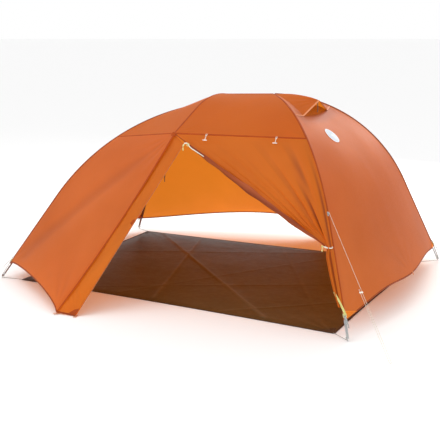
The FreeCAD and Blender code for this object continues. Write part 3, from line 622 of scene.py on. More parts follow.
def stations(line_at, steps, reach):
    """Equal steps along a line: share of it, point, direction over the given reach, and distance run."""
    run, last = 0.0, line_at(0.0)
    for j in range(steps + 1):
        t = j / steps
        at = line_at(t)
        run += (at - last).length
        last = at
        yield t, at, (line_at(min(1.0, t + reach)) - line_at(max(0.0, t - reach))).normalized(), run


TAPE_SECTION = ((-1.0, 1.0), (-0.55, 0.32), (0.0, 0.0), (0.55, 0.32), (1.0, 1.0))


def strip(name, line_at, out_at, half, lift, droop, steps, mat):
    """Narrow tape laid on a fabric line, facing out_at(t), its edges turned down by droop."""
    verts, uvs = [], []
    for t, at, along, run in stations(line_at, steps, 0.004):
        out = out_at(t).normalized()
        side = along.cross(out).normalized()
        for k, (share, fall) in enumerate(TAPE_SECTION):
            verts.append(at + side * (half * share) + out * (lift - droop * fall))
            uvs.append((run, k / 4.0))
    return add(name, verts, grid_faces(5, steps + 1), mat, uvs)


def tube(name, points, radius, mat, body="tent", sides=10):
    """Capped tube along points; radius is a number, or a function of the share of points passed."""
    verts = []
    count = len(points)
    side = None
    for j, p in enumerate(points):
        along = (points[min(count - 1, j + 1)] - points[max(0, j - 1)]).normalized()
        if side is None:
            side = along.orthogonal().normalized()
        side = (side - along * side.dot(along)).normalized()
        other = along.cross(side)
        r = radius(j / (count - 1)) if callable(radius) else radius
        for k in range(sides):
            a = step_angle(k, sides)
            verts.append(p + side * (r * math.cos(a)) + other * (r * math.sin(a)))
    return add(name, verts, capped(sides, count), mat, body=body)


def boxy(name, point_at, rows, sides, power, mat, body, uvs=None):
    """Capped tube with a rounded-box section; point_at(t, c, s) takes a blunted cosine and sine."""
    verts = []
    for j in range(rows):
        for k in range(sides):
            c, s = math.cos(step_angle(k, sides)), math.sin(step_angle(k, sides))
            verts.append(point_at(j / (rows - 1), math.copysign(abs(c) ** power, c),
                                  math.copysign(abs(s) ** power, s)))
    return add(name, verts, capped(sides, rows), mat, uvs, body=body)


def evenly(start, end, steps):
    """Points at equal steps from start to end."""
    return [start.lerp(end, k / steps) for k in range(steps + 1)]


def circle(count, point_at):
    """Points at count equal steps round a circle, back to the first."""
    return [point_at(step_angle(k, count)) for k in range(count + 1)]


def through(points):
    """Line with straight sides through points."""
    last = len(points) - 1

    def at(t):
        i = min(last - 1, int(t * last))
        return points[i].lerp(points[i + 1], t * last - i)
    return at


def nurbs(name, points, radius, mat):
    curve = bpy.data.curves.new(name, "CURVE")
    curve.dimensions = "3D"
    spline = curve.splines.new("NURBS")
    spline.points.add(len(points) - 1)
    for target, p in zip(spline.points, points):
        target.co = (*p, 1.0)
    spline.order_u = 3
    spline.use_endpoint_u = True
    curve.bevel_depth = radius
    curve.bevel_resolution = 3
    curve.resolution_u = 8
    curve.use_fill_caps = True
    curve.materials.append(mat)
    obj = bpy.data.objects.new(name, curve)
    bpy.context.scene.collection.objects.link(obj)
    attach(obj, "tent")
    return obj


# -------------------- camera, lights and floor
AIM = Vector((0.228, -0.530, 0.500))
CAMERA_TURN = math.radians(27.283)
CAMERA_RISE = math.radians(12.437)
CAMERA_FAR = 6.045
back = Vector((math.sin(CAMERA_TURN) * math.cos(CAMERA_RISE), -math.cos(CAMERA_TURN) * math.cos(CAMERA_RISE),
               math.sin(CAMERA_RISE)))
camera_data = bpy.data.cameras.new("camera")
camera_data.lens = 78.0
camera_data.sensor_width = 36.0
camera_data.clip_end = 60.0
camera = bpy.data.objects.new("camera", camera_data)
camera.location = AIM + back * CAMERA_FAR
camera.rotation_euler = back.to_track_quat("Z", "Y").to_euler()
bpy.context.scene.collection.objects.link(camera)
bpy.context.scene.camera = camera

world = bpy.data.worlds.new("studio")
world.use_nodes = True
world.node_tree.nodes["Background"].inputs["Color"].default_value = (1.0, 1.0, 1.0, 1.0)
world.node_tree.nodes["Background"].inputs["Strength"].default_value = 1.0
bpy.context.scene.world = world
bpy.context.scene.view_settings.view_transform = "Standard"


def area_light(name, at, aim, size, power, colour=(1.0, 1.0, 1.0)):
    data = bpy.data.lights.new(name, "AREA")
    data.shape = "DISK"
    data.size = size
    data.energy = power
    data.color = colour
    lamp = bpy.data.objects.new(name, data)
    lamp.location = at
    lamp.rotation_euler = (Vector(at) - Vector(aim)).to_track_quat("Z", "Y").to_euler()
    bpy.context.scene.collection.objects.link(lamp)


area_light("sky_light", (-1.8, -2.2, 4.6), (0.0, 0.0, 0.4), 3.6, 55.0)
area_light("behind_light", (0.4, 4.4, 2.4), (0.0, 0.5, 0.5), 2.6, 120.0, (1.0, 0.97, 0.92))
area_light("front_light", (3.4, -4.6, 2.2), (0.0, 0.0, 0.5), 2.8, 14.0)

floor_mat, _, floor_shader = nodes_of("studio_floor")
floor_shader.inputs["Base Color"].default_value = (0.95, 0.95, 0.95, 1.0)
floor_shader.inputs["Roughness"].default_value = 0.9
FLOOR_HALF = 90.0
FLOOR_BELOW = -0.0006
floor = add("studio_floor",
            [(x * FLOOR_HALF, y * FLOOR_HALF, FLOOR_BELOW) for x, y in ((-1, -1), (1, -1), (1, 1), (-1, 1))],
            [(0, 1, 2, 3)], floor_mat, smooth=False, body=None)

# -------------------- free cords
near_leg = LEGS["near_head"]
guy_s = near_leg.at_height(GUY_Z)
guy_top = near_leg.point(guy_s, FABRIC_OFF + 0.0205)
guy_run = (GUY_ANCHOR - guy_top).normalized()
guy_side = guy_run.cross(UP).normalized()
GUY_SPREAD = 0.012
GUY_KNOT_AT = 0.520
GUY_BEND, GUY_STRAIGHT = 0.010, 0.070      # from the anchor to the bend and to the straight run
guyline = nurbs("guyline_line", [
    guy_top,
    GUY_ANCHOR - guy_run * GUY_STRAIGHT,
    GUY_ANCHOR - guy_run * GUY_BEND,
    GUY_ANCHOR + guy_side * (GUY_SPREAD * 0.15),
    GUY_ANCHOR + guy_side * (GUY_SPREAD * 0.85),
    GUY_ANCHOR + guy_side * GUY_SPREAD - guy_run * GUY_BEND,
    GUY_ANCHOR + guy_side * GUY_SPREAD - guy_run * GUY_STRAIGHT,
    guy_top + guy_run * GUY_KNOT_AT + guy_side * GUY_SPREAD,
], 0.001, CORD)
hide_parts("guyline")

# -------------------- ground sheet corner cords
FLOOR_CORNERS = {
    "near_head": Vector((FLOOR_LENGTH / 2, -FLOOR_WIDTH["head"] / 2, 0.0)),
    "far_head": Vector((FLOOR_LENGTH / 2, FLOOR_WIDTH["head"] / 2, 0.0)),
    "near_foot": Vector((-FLOOR_LENGTH / 2, -FLOOR_WIDTH["foot"] / 2, 0.0)),
    "far_foot": Vector((-FLOOR_LENGTH / 2, FLOOR_WIDTH["foot"] / 2, 0.0)),
}
FLOOR_CORD_R = 0.0016
floor_cords = []
cord_ends = {}
for name, corner in FLOOR_CORNERS.items():
    leg = LEGS[name]
    start = corner * 0.994 + UP * (FLOOR_CORD_R + 0.0013)
    finish = leg.point(0.0) + leg.out * 0.0095 + UP * (FLOOR_CORD_R + 0.0025)
    cord_ends[name] = (start, finish)
    floor_cords.append(nurbs("footprint_cord_" + name, [start, start.lerp(finish, 0.5) - UP * 0.0004, finish],
                             FLOOR_CORD_R, CORD_GREY))
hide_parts("footprint_cords")


# -------------------- fly panels
def window(u, v, edge=0.06):
    """0 on a panel's border, 1 inside it, so that neighbouring panels keep meeting along their seams."""
    return ease(u / edge) * ease((1.0 - u) / edge) * ease(v / edge) * ease((1.0 - v) / edge)


def pulls(p, centre, aim, count, depth, reach, seed=0.0):
    """Fine pleats that run out from a point under tension and die away."""
    away = p - centre
    far = away.length
    if far < 1e-5 or far > reach * 4.0:
        return 0.0
    turn = aim.angle(away) if aim.length else 0.0
    return depth * math.exp(-far / reach) * min(1.0, far / 0.05) * math.sin(count * turn + seed)


def drift(p, scale, depth, seed):
    return depth * noise.noise(p * scale + Vector((seed, 0.0, 0.0)))


def fold(p, a, b, width, depth):
    """A soft ridge along the line from a to b."""
    way = b - a
    t = max(0.0, min(1.0, (p - a).dot(way) / way.length_squared))
    off = (p - a - way * t).length / width
    return depth * math.exp(-off * off) * ease(t * 4.0 + 0.25) * ease((1.0 - t) * 4.0 + 0.25)


# Fold depth that gives full painted shade.
FOLD_SHADE_FULL = 0.022


def swollen(inward, bulge, folds):
    """How far a panel moves inwards, by its bulge and its folds, and the painted shade laid in those folds.
    """
    inward = Vector(inward).normalized()

    def shift(u, v, p):
        deep = folds(u, v, p) * window(u, v)
        return inward * (bulge * 16.0 * u * (1.0 - u) * v * (1.0 - v) + deep), deep / FOLD_SHADE_FULL
    return shift


def roof_surface(end, side):
    name = side + "_" + end
    ridge = line(ROOF_BROW, ROOF_HEAD) if end == "head" else ridge_to_foot
    leg = LEGS[name]
    return coons(line(BROW_TIPS[side], SEAMS[name]), ridge, brow_line(side),
                 leg_line(name, SEAM_S[name], leg.length))


def roof_folds(end, side):
    tip = BROW_TIPS[side]
    corner = SEAMS[side + "_" + end]

    def folds(u, v, p):
        return (drift(p, 3.2, 0.0022, 2.0 + len(end)) + pulls(p, tip, corner - tip, 15.0, 0.0022, 0.12)
                + pulls(p, corner, tip - corner, 13.0, 0.0020, 0.12) + fold(p, tip, ROOF_HEAD, 0.05, -0.0015))
    return folds


panels = {}
for end, label in (("head", "fly_roof_head"), ("foot", "fly_roof_foot")):
    panels[label] = cloth(label + "_cloth", [
        (roof_surface(end, side), 72, 56, swollen((0, 0, -1), 0.009, roof_folds(end, side)))
        for side in SIDES], ROOF)


def leg_down(name, s):
    return leg_line(name, s, CORNER_S)


def head_folds(u, v, p):
    total = drift(p, 2.2, 0.004, 7.0) + drift(p, 7.0, 0.0011, 3.0)
    for name in ("near_head", "far_head"):
        total += pulls(p, CORNERS[name], UP, 17.0, 0.0030, 0.16, 0.6)
        total += pulls(p, VENT_ENDS[name], UP, 13.0, 0.0022, 0.10)
    return total + pulls(p, HEAD_TAB, UP, 15.0, 0.0022, 0.14)


head_swell = swollen((-1, 0, 0), 0.010, head_folds)


def head_shift(u, v, p):
    """The panel's own folds and bulge, with painted shade along the vent's sill and painted shade growing
    towards its lower hem.
    """
    move, fold_shade = head_swell(u, v, p)
    # Painted shade under the hood's lip, and painted shade darkening the lower half of the panel.
    sill_shade = 0.55 * ease((0.115 - v) / 0.09) * ease(u / 0.10) * ease((1.0 - u) / 0.10)
    return move, max(fold_shade, sill_shade) + 0.20 * ease((v - 0.30) / 0.45)


head_surface = coons(vent_sill, HEM_EDGES["head"], leg_down("near_head", VENT_S["near_head"]),
                     leg_down("far_head", VENT_S["far_head"]))
panels["fly_head_panel"] = cloth("fly_head_panel_cloth", [(head_surface, 97, 110, head_shift)], FLY)


def foot_folds(u, v, p):
    total = drift(p, 2.2, 0.004, 11.0) + drift(p, 7.0, 0.0011, 5.0)
    for name in ("near_foot", "far_foot"):
        total += pulls(p, CORNERS[name], UP, 17.0, 0.0030, 0.16)
    return total + pulls(p, FOOT_TAB, UP, 15.0, 0.0022, 0.14)


foot_top = {name: LEGS[name].length - HUB_GAP for name in LEGS}
panels["fly_foot_panel"] = cloth("fly_foot_panel_cloth", [(coons(
    across_hub("foot"), HEM_EDGES["foot"],
    leg_down("near_foot", foot_top["near_foot"]), leg_down("far_foot", foot_top["far_foot"])),
    97, 120, swollen((1, 0, -0.6), 0.012, foot_folds))], FLY)


def hood_folds(u, v, p):
    return drift(p, 9.0, 0.0012, 4.0) + pulls(p, VENT_PEAK, Vector((-1, 0, 0)), 19.0, 0.0030, 0.10)


panels["vent_hood"] = cloth("vent_hood_cloth", [(coons(
    across_hub("head"), vent_lip, leg_line("near_head", foot_top["near_head"], VENT_S["near_head"]),
    leg_line("far_head", foot_top["far_head"], VENT_S["far_head"])),
    81, 48, swollen((0, 0, -1), 0.0, hood_folds))], ROOF)


NEAR_SAG = Vector((0.0, 0.0, -0.038))
near_edge = bowed(BROW_TIPS["near"], NEAR_STAKE, NEAR_SAG)


def near_folds(u, v, p):
    tip, stake = BROW_TIPS["near"], NEAR_STAKE
    low_corner = CORNERS["near_foot"]
    total = fold(p, tip, low_corner.lerp(stake, 0.12) + UP * 0.05, 0.075, 0.010)
    total -= fold(p, tip, low_corner.lerp(stake, 0.42) + UP * 0.12, 0.10, 0.006)
    total += pulls(p, tip, stake - tip, 21.0, 0.0042, 0.20)
    total += pulls(p, stake, tip - stake, 19.0, 0.0030, 0.16)
    total += pulls(p, low_corner, UP, 17.0, 0.0028, 0.15)
    return total + drift(p, 2.0, 0.005, 17.0) + drift(p, 8.0, 0.0010, 9.0)


panels["vestibule_near"] = cloth("vestibule_near_cloth", [(coons(
    line(SEAMS["near_foot"], BROW_TIPS["near"]), HEM_EDGES["near"],
    leg_down("near_foot", SEAM_S["near_foot"]), near_edge), 100, 120, swollen(NEAR_IN, 0.014, near_folds))],
    FLY)

STORM_TOP = BROW_TIPS["near"] + Vector((-0.004, 0.007, -0.006))
STORM_LOW = NEAR_STAKE + Vector((-0.004, 0.006, 0.0))


def storm_folds(u, v, p):
    ripple = 0.0026 * math.sin(9.0 * v + 5.0 * u) + 0.0016 * math.sin(31.0 * v - 3.0 * u)
    return ripple * (1.0 - 0.4 * u) + pulls(p, DOOR_STAKE, ZIP_TOP - DOOR_STAKE, 25.0, 0.003, 0.12)


panels["storm_flap"] = cloth("storm_flap_cloth", [(coons(
    line(STORM_TOP, ZIP_TOP), line(STORM_LOW, DOOR_STAKE), bowed(STORM_TOP, STORM_LOW, NEAR_SAG),
    line(ZIP_TOP, DOOR_STAKE)), 22, 140, swollen(NEAR_IN, 0.0, storm_folds))], FLY_LIT)


def far_folds(u, v, p):
    total = pulls(p, BROW_TIPS["far"], FAR_STAKE - BROW_TIPS["far"], 19.0, 0.0036, 0.20)
    total += pulls(p, FAR_STAKE, BROW_TIPS["far"] - FAR_STAKE, 17.0, 0.0030, 0.16)
    for name in ("far_foot", "far_head"):
        total += pulls(p, CORNERS[name], UP, 17.0, 0.0030, 0.15)
    return total + drift(p, 2.0, 0.005, 23.0) + drift(p, 7.0, 0.0010, 13.0)


far_zip = line(BROW_TIPS["far"], FAR_STAKE)
panels["vestibule_far"] = cloth("vestibule_far_cloth", [
    (coons(line(SEAMS["far_" + end], BROW_TIPS["far"]), HEM_EDGES["far_" + end],
           leg_down("far_" + end, SEAM_S["far_" + end]), far_zip), 84, 110, swollen(FAR_IN, 0.012, far_folds))
    for end in ("foot", "head")], FLY)
for label, piece in panels.items():
    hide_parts(label)

# -------------------- open half of the door
TIE_S = near_leg.at_height(TIE_Z)
DOOR_IN = Vector((-0.004, -0.013, 0.0))
DOOR_WIDE = Vector((-0.040, -0.004, 0.006))
FLAP_CORNER = 0.08
tie_on_leg = near_leg.point(TIE_S, FABRIC_OFF)
tie = tie_on_leg + DOOR_IN
tie_inner = tie + DOOR_WIDE
flap_top = line(BROW_TIPS["near"] + Vector((0.010, -0.004, -0.005)),
                SEAMS["near_head"] + Vector((-0.004, -0.010, -0.005)))
flap_zip = ZIP_TOP + Vector((0.034, -0.003, 0.0))
flap_slack = bowed(flap_zip, tie_inner, Vector((0.0, 0.0, 0.008)))


def flap_inner_edge(t):
    if t < FLAP_CORNER:
        return flap_top(0.0).lerp(flap_zip, t / FLAP_CORNER)
    return flap_slack((t - FLAP_CORNER) / (1.0 - FLAP_CORNER))


def flap_leg(t):
    s = SEAM_S["near_head"] + (TIE_S - SEAM_S["near_head"]) * t
    return flap_top(1.0).lerp(tie, t) + near_leg.point(s, FABRIC_OFF) - SEAMS["near_head"].lerp(tie - DOOR_IN,
                                                                                                t)


FLAP_IN = Vector((0.1, 1.0, 0.1)).normalized()
TOGGLE_ROOM = 0.011


def tucked(u):
    """1 at the inner corner of the tie, where the cloth is drawn back behind the toggle, 0 beside the leg."""
    return ease((0.80 - u) / 0.35)


def gathered(u, v, p):
    """Folds that fan out of the tie, deepest beside the leg, and die away towards the roof seam, with painted
    shade in their valleys.
    """
    fan = u ** 0.62
    crest = (math.sin(2.0 * math.pi * (6.5 * fan + 0.35 * v)) + 0.45
             * math.sin(2.0 * math.pi * (11.0 * fan - 0.5 * v))
             + 0.3 * math.sin(2.0 * math.pi * 3.0 * u))
    beside_leg = ease((u - 0.62) / 0.22)
    depth = 0.0012 + 0.0105 * ease(v * 1.15) * (0.45 + 0.55
                                                * ease((u - 0.25) / 0.5)) + 0.0080 * beside_leg * ease(v
                                                                                                       * 2.4)
    soft = ease(v / 0.05) * ease(u / 0.03) * ease((1.0 - u) / 0.03)
    near_tie = ease((v - 0.80) / 0.12) * tucked(u)
    deep = -(crest + 1.2) * depth * soft * 0.6 * (1.0 - near_tie) + TOGGLE_ROOM * near_tie
    # Painted shade in the valleys of the folds, darkest beside the leg.
    dark = ease((0.35 - crest) / 1.6) * depth / 0.014 * soft * (0.40 + 0.60 * ease((u - 0.35) / 0.40))
    return FLAP_IN * (deep + drift(p, 6.0, 0.003, 31.0) * soft), dark


TAIL_S = CORNER_S + 0.072
tail_on_leg = near_leg.point(TAIL_S, FABRIC_OFF)
TAIL_END = tail_on_leg + DOOR_IN
TAIL_INNER = TAIL_END + DOOR_WIDE * 0.4
tail_edge = bowed(tie_inner, TAIL_INNER, Vector((-0.010, 0.0, 0.0)))


def tail_folds(u, v, p):
    valley = math.exp(-((u - 0.62 - 0.08 * v) / 0.17) ** 2) + 0.5 * math.exp(-((u - 0.18) / 0.08) ** 2)
    soft = ease(u / 0.08) * ease((1.0 - u) / 0.08)
    near_tie = ease((0.16 - v) / 0.10) * tucked(u)
    # The second value is painted shade in the tail's fold valleys.
    return (FLAP_IN * (-0.0130 * (1.0 - valley) * soft * (1.0 - near_tie) + TOGGLE_ROOM * near_tie),
            min(1.0, 1.3 * valley) * soft)


def flat_cloth(u, v, p):
    return Vector(), 0.0


door = cloth("door_flap_cloth", [
    (coons(flap_top, line(tie_inner, tie), flap_inner_edge, flap_leg), 150, 130, gathered),
    (coons(line(tie_inner, tie), line(TAIL_INNER, TAIL_END), tail_edge, line(tie, TAIL_END)), 26, 60,
     tail_folds),
    (coons(line(flap_leg(0.0), SEAMS["near_head"]), line(tie, tie_on_leg), flap_leg,
           leg_line("near_head", SEAM_S["near_head"], TIE_S)), 4, 130, flat_cloth),
    (coons(line(tie, tie_on_leg), line(TAIL_END, tail_on_leg), line(tie, TAIL_END),
           leg_line("near_head", TIE_S, TAIL_S)), 4, 60, flat_cloth)], FLY_LIT)
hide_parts("door_flap")

# Rolled inner edge of the flap: a slack roll from the zip's end to the tie, fattest past its middle, with
# painted shade on its turns.
ROLL_STEPS = 60
SPIRAL = 44
TURNS = 2.2
ROLL_THIN, ROLL_SWELL = 0.0035, 0.0120
roll_points = []
for i in range(ROLL_STEPS + 1):
    t = i / ROLL_STEPS
    roll_points.append(flap_slack(t) + Vector((0.0, -0.009 + 0.015 * ease((t - 0.86) / 0.09),
                                               0.002 - 0.010 * math.sin(math.pi * t))))
verts, uvs, fold_shades = [], [], []
for j, p in enumerate(roll_points):
    t = j / ROLL_STEPS
    along = (roll_points[min(ROLL_STEPS, j + 1)] - roll_points[max(0, j - 1)]).normalized()
    side = along.cross(FLAP_IN).normalized()
    other = along.cross(side)
    size = ROLL_THIN + ROLL_SWELL * math.sin(math.pi * min(1.0, t * 1.05)) ** 0.8
    size *= 1.0 + 0.16 * math.sin(17.0 * t) + 0.10 * math.sin(41.0 * t + 1.0)
    for k in range(SPIRAL):
        a = 2.0 * math.pi * TURNS * k / (SPIRAL - 1) + 0.6 * math.sin(7.0 * t)
        r = size * (1.0 - 0.42 * k / (SPIRAL - 1))
        verts.append(p + side * (1.35 * r * math.cos(a)) + other * (0.75 * r * math.sin(a)))
        uvs.append((j * 0.02, k * 0.004))
        # Painted shade on the inner turns of the roll.
        fold_shades.append(max(0.0, 0.5 + 0.5 * math.sin(a * 1.5 + 9.0 * t)) * 0.7)
roll = add("door_flap_roll", verts, grid_faces(SPIRAL, ROLL_STEPS + 1), ROLLED, uvs,
           fold_shades=fold_shades)


# -------------------- seams, hems and reinforcements
def leg_out(name, s0, s1):
    return lambda t: LEGS[name].normal(s0 + (s1 - s0) * t)


def steady(*direction):
    out = Vector(direction)
    return lambda t: out


SEAM_HALF = 0.0075
for name, leg in LEGS.items():
    s0 = leg.length - HUB_GAP * 0.5
    foot = name.endswith("foot")
    strip("seam_leg_" + name, leg_line(name, s0, CORNER_S - 0.004), leg_out(name, s0, CORNER_S),
          0.0100 if foot else SEAM_HALF, 0.0016, 0.0085 if foot else 0.0040, 90,
          SEAM if name == "near_head" else HEM)
    if name != "near_head":
        ridge = [leg.point(s0 + (CORNER_S + 0.045 - s0) * k / 80.0, FABRIC_OFF + 0.0006) for k in range(81)]
        tube("seam_piping_" + name, ridge, 0.0036, HEM)
for side, sign in SIDES.items():
    strip("seam_brow_" + side, brow_line(side), lambda t, side=side: BROW[side].normal(BROW[side].length * t),
          SEAM_HALF, 0.0015, 0.0030, 50, SEAM)
    for end in ("head", "foot"):
        strip("seam_roof_" + side + "_" + end, line(BROW_TIPS[side], SEAMS[side + "_" + end]),
              steady(0.0, sign * 0.85, 0.55), 0.0055, 0.0010, 0.0016, 40, SEAM)
strip("seam_ridge_head", line(ROOF_BROW, ROOF_HEAD), steady(0, 0, 1), SEAM_HALF, 0.0012, 0.0020, 30, SEAM)
strip("seam_ridge_foot", ridge_to_foot, steady(0, 0, 1), SEAM_HALF, 0.0012, 0.0020, 40, SEAM)
strip("seam_far_zip", far_zip, steady(0.0, 0.85, 0.5), 0.010, 0.0020, 0.0030, 80, SEAM)
strip("seam_storm", near_edge, steady(*NEAR_OUT), 0.0055, 0.0022, 0.0020, 90, SEAM)

hems = {
    "hem_near": (HEM_EDGES["near"], NEAR_OUT),
    "hem_head": (HEM_EDGES["head"], (1, 0, 0.1)),
    "hem_foot": (HEM_EDGES["foot"], (-1, 0, 0.6)),
    "hem_far_foot": (HEM_EDGES["far_foot"], FAR_OUT),
    "hem_far_head": (HEM_EDGES["far_head"], FAR_OUT),
    "hem_storm": (line(STORM_LOW, DOOR_STAKE), NEAR_OUT),
    "hem_vent": (vent_lip, (0.5, 0, 1)),
    "hem_vent_sill": (vent_sill, (1, 0, 0.4)),
}
for name, (edge, out) in hems.items():
    strip(name, edge, steady(*out), 0.005, 0.0012, 0.0016, 70,
                             HEM_PALE if name == "hem_vent" else HEM)
strip("hem_door_edge", line(ZIP_TOP, DOOR_STAKE), steady(*NEAR_OUT), 0.0045, 0.0014, 0.0012, 90, FLY_LIT)
strip("hem_flap_top", flap_inner_edge, steady(0.0, -1, 0.2), 0.003, 0.0016, 0.0010, 60, HEM)


PATCH_RINGS = 5
PATCH_DOME = 0.0012
PATCH_STEPS = 6                 # points on each side of a patch's outline


def patch(name, outline, out, lift, mat=PATCH):
    """Doubled cloth over a loaded corner: a fan of rings that follows the flat outline, slightly domed."""
    middle = sum(outline, Vector()) / len(outline)
    out = Vector(out).normalized()
    verts, uvs = [], []
    count = len(outline) * PATCH_STEPS
    for j in range(PATCH_RINGS + 1):
        share = j / PATCH_RINGS
        for k in range(count):
            a, b = outline[k // PATCH_STEPS], outline[(k // PATCH_STEPS + 1) % len(outline)]
            edge = a.lerp(b, (k % PATCH_STEPS) / PATCH_STEPS)
            at = middle.lerp(edge, share * 0.999 + 0.001)
            verts.append(at + out * (lift + PATCH_DOME * (1.0 - share ** 4)))
            uvs.append((k * 0.004, share))
    return add(name, verts, grid_faces(count, PATCH_RINGS + 1, 0, True), mat, uvs)


BROW_PATCH = 0.40
BROW_OUTLINES = {
    "near": ((-0.062, -0.004, -0.030), (-0.030, 0.012, 0.016), (0.000, 0.038, 0.020), (0.045, 0.006, 0.006),
             (0.052, -0.002, -0.030), (0.018, -0.016, -0.050), (-0.022, -0.026, -0.052)),
    "far": ((-0.062, 0.004, -0.030), (-0.030, -0.012, 0.016), (0.000, -0.038, 0.020), (0.045, -0.006, 0.006),
            (0.052, 0.010, -0.036), (-0.006, 0.030, -0.050)),
}
for side, sign in SIDES.items():
    patch("patch_brow_" + side, [BROW_TIPS[side] + Vector(d) * BROW_PATCH for d in BROW_OUTLINES[side]],
          (0.0, 0.9 * sign, 0.45), 0.0030)

storm_low = line(STORM_LOW, DOOR_STAKE)
storm_run = (ZIP_TOP - DOOR_STAKE).normalized()
patch("patch_stake_door", [DOOR_STAKE, DOOR_STAKE + storm_run * 0.050, storm_low(0.78) + storm_run * 0.036,
                           storm_low(0.62) + storm_run * 0.008], NEAR_OUT, 0.0014)
patch("patch_storm_middle", [ZIP_TOP.lerp(DOOR_STAKE, t) + d for t, d in (
    (0.450, Vector((-0.002, 0, 0))), (0.455, Vector((-0.016, 0, 0.002))), (0.475, Vector((-0.022, 0, 0.002))),
    (0.485, Vector((-0.002, 0, 0))))], NEAR_OUT, 0.0020)


# -------------------- ground sheet
def floor_edge(a, b):
    middle = (a + b) / 2.0
    inward = -middle.normalized() * FLOOR_HOLLOW
    return lambda t: a.lerp(b, t) + inward * (4.0 * t * (1.0 - t))


C = FLOOR_CORNERS
floor_sheet = coons(floor_edge(C["near_foot"], C["near_head"]), floor_edge(C["far_foot"], C["far_head"]),
                    floor_edge(C["near_foot"], C["far_foot"]), floor_edge(C["near_head"], C["far_head"]))
CREASES = (
    ((-0.10, -0.84), (-0.62, 0.80), 0.0042), ((-0.95, 0.76), (0.55, -0.70), 0.0048),
    ((-1.10, 0.10), (0.60, 0.86), 0.0014),
    ((0.05, 0.85), (1.05, -0.80), 0.0018), ((-0.70, -0.78), (1.10, 0.20), 0.0012),
    ((0.62, 0.84), (-0.40, -0.80), 0.0012),
    ((0.35, -0.86), (1.12, -0.20), 0.0016),
)


def floor_relief(x, y):
    """Fold lines left by packing, radiating corner pulls and a slow ripple of the slack sheet."""
    height = 0.0
    for (ax, ay), (bx, by), tall in CREASES:
        length = math.hypot(bx - ax, by - ay)
        off = abs((x - ax) * (by - ay) - (y - ay) * (bx - ax)) / length
        height += tall * math.exp(-(off / 0.010) ** 2)
        height += 0.35 * tall * math.exp(-(off / 0.050) ** 2)
    p = Vector((x, y, 0.0))
    for corner in FLOOR_CORNERS.values():
        away = p - corner
        if away.length > 1e-4:
            turn = math.atan2(away.y, away.x)
            height += 0.0022 * math.exp(-away.length / 0.22) * (1.0 + math.sin(19.0 * turn))
    height += 0.0022 * (1.0 + noise.noise(Vector((x * 2.6, y * 2.6, 3.0))))
    height += 0.0010 * (1.0 + noise.noise(Vector((x * 9.0, y * 9.0, 8.0))))
    return height


def floor_shift(u, v, p):
    return UP * (0.0009 + floor_relief(p.x, p.y) * window(u, v, 0.03)), 0.0

ground = cloth("footprint_cloth", [(floor_sheet, 230, 170, floor_shift)], GROUND)
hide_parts("footprint")
for i, (a, b) in enumerate((("near_foot", "near_head"), ("near_head", "far_head"), ("far_head", "far_foot"),
                            ("far_foot", "near_foot"))):
    edge = floor_edge(C[a], C[b])
    strip("footprint_hem_%d" % i, lambda t, edge=edge: edge(t) * 0.9985, steady(0, 0, 1), 0.007, 0.0026,
          0.0010, 60,
          GROUND_HEM)
for name, corner in C.items():
    inward = -corner.normalized()
    across = Vector((-inward.y, inward.x, 0.0))
    patch("footprint_corner_" + name, [corner + inward * 0.004, corner + inward * 0.075 + across * 0.060,
                                       corner + inward * 0.115, corner + inward * 0.075 - across * 0.060],
          (0, 0, 1), 0.0030, GROUND_HEM)

# -------------------- webbing, buckles and corner details
WEB_SECTION = ((-1.0, -0.3), (-0.93, -1.0), (-0.4, -1.0), (0.4, -1.0), (0.93, -1.0), (1.0, -0.3),
               (1.0, 0.3), (0.93, 1.0), (0.4, 1.0), (-0.4, 1.0), (-0.93, 1.0), (-1.0, 0.3))


def webbing(name, line_at, out_at, half, thick, steps, mat, taper=0.0):
    """Flat woven tape with rounded edges, swept along a line."""
    verts, uvs = [], []
    for t, at, along, run in stations(line_at, steps, 0.01):
        side = along.cross(out_at(t)).normalized()
        out = side.cross(along)
        for x, y in WEB_SECTION:
            verts.append(at + side * (half * x * (1.0 - taper * t)) + out * (thick / 2.0 * y))
            uvs.append((run, (x + 1.0) / 2.0))
    return add(name, verts, capped(len(WEB_SECTION), steps + 1), mat, uvs)


def framed(at, along, across):
    """Local axes for a small part: x along, y across, z outwards."""
    along = along.normalized()
    out = along.cross(across).normalized()
    across = out.cross(along)
    return lambda x, y, z: at + along * x + across * y + out * z


ROUNDING = 6                    # steps round each corner of a frame


def rounded_loop(half_long, half_wide, r):
    """Outline of a rounded rectangle, as (x, y) points."""
    points = []
    for sx, sy, start in ((1, 1, 0.0), (-1, 1, 0.5), (-1, -1, 1.0), (1, -1, 1.5)):
        for k in range(ROUNDING + 1):
            a = math.pi * (start + 0.5 * k / ROUNDING)
            points.append((sx * (half_long - r) + r * math.cos(a), sy * (half_wide - r) + r * math.sin(a)))
    return points


def ring_plate(place, outer, inner, half, name, mat, body):
    """Rounded rectangular frame: outer and inner are (length, width) half sizes, half its half thickness."""
    rim = rounded_loop(outer[0] + half * 0.3, outer[1] + half * 0.3, min(outer) * 0.38)
    big, small = rounded_loop(*outer, min(outer) * 0.35), rounded_loop(*inner, min(inner) * 0.3)
    middle = [(x * 0.5 + u * 0.5, y * 0.5 + v * 0.5) for (x, y), (u, v) in zip(big, small)]
    rise = half * 0.75
    rows = ((rim, 0.0), (big, rise), (middle, half), (small, rise), (small, -rise), (middle, -half),
            (big, -rise))
    verts = [place(x, y, z) for loop, z in rows for x, y in loop]
    return add(name, verts, wrapped(len(big), len(rows)), mat, body=body)


def rippled(a, b, out):
    """Straight line with a slight wave in the direction out."""
    return lambda t: a.lerp(b, t) + out * (0.0005 * math.sin(9.0 * t))


